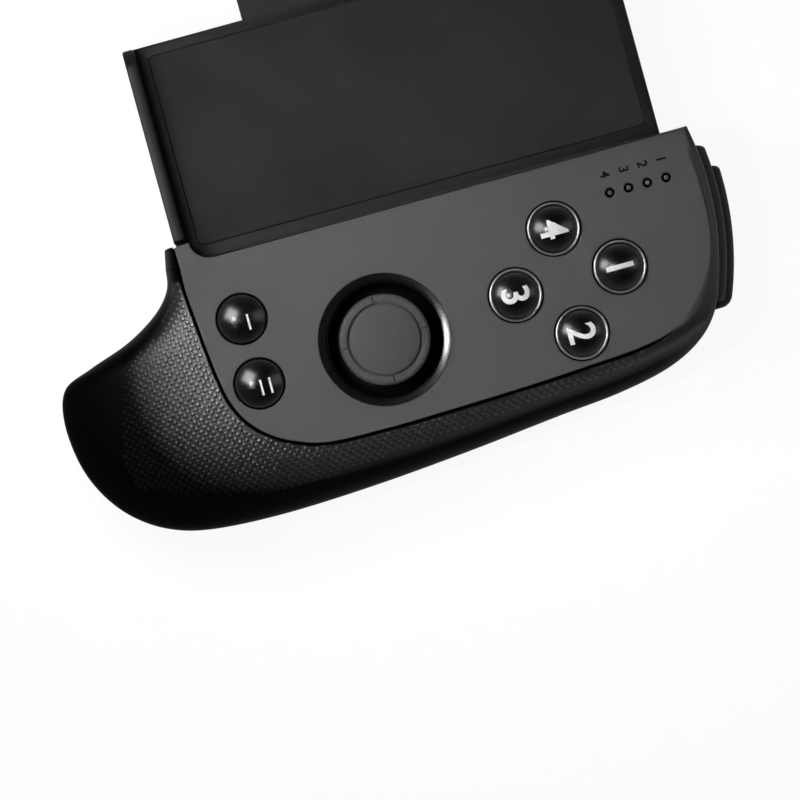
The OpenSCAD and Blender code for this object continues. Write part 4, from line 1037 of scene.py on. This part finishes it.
def seen_or_mirrored(tree, ray):
    """1 for rays from the camera, a mirror or glass, which show the backdrop, and 0 for the rest."""
    seen = ray["Is Camera Ray"]
    for other in ("Is Glossy Ray", "Is Transmission Ray"):
        seen = maths(tree, "MAXIMUM", seen, ray[other])
    return seen


# Matt paper: white to the camera with the object's shadow on it, and grey to the light.
paper = bpy.data.materials.new("studio_floor_paper")
sheet = empty_tree(paper)
ray = add(sheet, "ShaderNodeLightPath").outputs
shows = seen_or_mirrored(sheet, ray)
matt = add(sheet, "ShaderNodeBsdfDiffuse", {"Color": (0.12, 0.12, 0.12, 1.0)})
level = maths(sheet, "MULTIPLY_ADD", ray["Is Camera Ray"], CAMERA_GLOW, PAPER_GLOW)
glow = add(sheet, "ShaderNodeEmission", {"Strength": level})
lit = add(sheet, "ShaderNodeAddShader", {0: matt, 1: glow})
both = add(sheet, "ShaderNodeMixShader", {0: shows, 1: matt, 2: lit})
add(sheet, "ShaderNodeOutputMaterial", {"Surface": both})
floor.data.materials.append(paper)


def soft_box(name, place, aim, size, power, spread=180):
    """A rectangular lamp in metres and watts, aimed at a point. Its spread is in degrees."""
    lamp = bpy.data.lights.new(name, "AREA")
    lamp.shape = "RECTANGLE"
    lamp.size, lamp.size_y = size
    lamp.energy = power
    lamp.spread = math.radians(spread)
    holder = new_object(name, lamp)
    holder.location = place
    holder.rotation_euler = (Vector(aim) - Vector(place)).to_track_quat("-Z", "Y").to_euler()
    holder.visible_camera = False


MIDDLE = (-0.01, -0.02, 0)
soft_box("key_box", (-0.08, 0.027, 0.12), (-0.02, -0.02, 0), (0.06, 0.06), 0.135)
soft_box("overhead_box", (-0.19, 0.03, 0.55), (0.011, -0.02, 0), (0.1, 0.1), 0.011, 10)
soft_box("right_box", (0.34, -0.03, 0.42), MIDDLE, (0.2, 0.3), 0.22)
soft_box("top_box", (0.1, 0.65, 0.25), MIDDLE, (0.6, 0.2), 0.2)
soft_box("low_box", (0.3, -0.7, 0.2), MIDDLE, (0.6, 0.2), 0.2)

SURROUND, PALE = 0.03, 0.9
world = bpy.data.worlds.new("studio")
bpy.context.scene.world = world
sky = empty_tree(world)
shows = seen_or_mirrored(sky, add(sky, "ShaderNodeLightPath").outputs)
toward = add(sky, "ShaderNodeTexCoord").outputs["Generated"]
height = add(sky, "ShaderNodeSeparateXYZ", {"Vector": toward}).outputs["Z"]
pale = add(sky, "ShaderNodeMapRange", {"Value": height, "From Min": 0.1, "From Max": 0.8, "To Min": PALE,
    "To Max": SURROUND})
strength = blend(sky, shows, SURROUND, pale)
surround = add(sky, "ShaderNodeBackground", {"Strength": strength})
add(sky, "ShaderNodeOutputWorld", {"Surface": surround})

VIEW_W, DISTANCE, SENSOR = 120.7, 2500.0, 36.0
right = Vector((0.9646, -0.2639, 0)).normalized()
back = Vector((0, 0, 1))
optics = bpy.data.cameras.new("camera")
optics.sensor_width = SENSOR
optics.lens = SENSOR * DISTANCE / VIEW_W
optics.clip_start = 0.01
optics.clip_end = 20.0
camera = new_object("camera", optics)
aim = Vector((-12.6, -28.8, FACE_Z)) * MM
basis = Matrix((right, back.cross(right), back)).transposed().to_4x4()
camera.matrix_world = Matrix.Translation(aim + back * DISTANCE * MM) @ basis
bpy.context.scene.camera = camera
bpy.context.scene.view_settings.view_transform = "Standard"
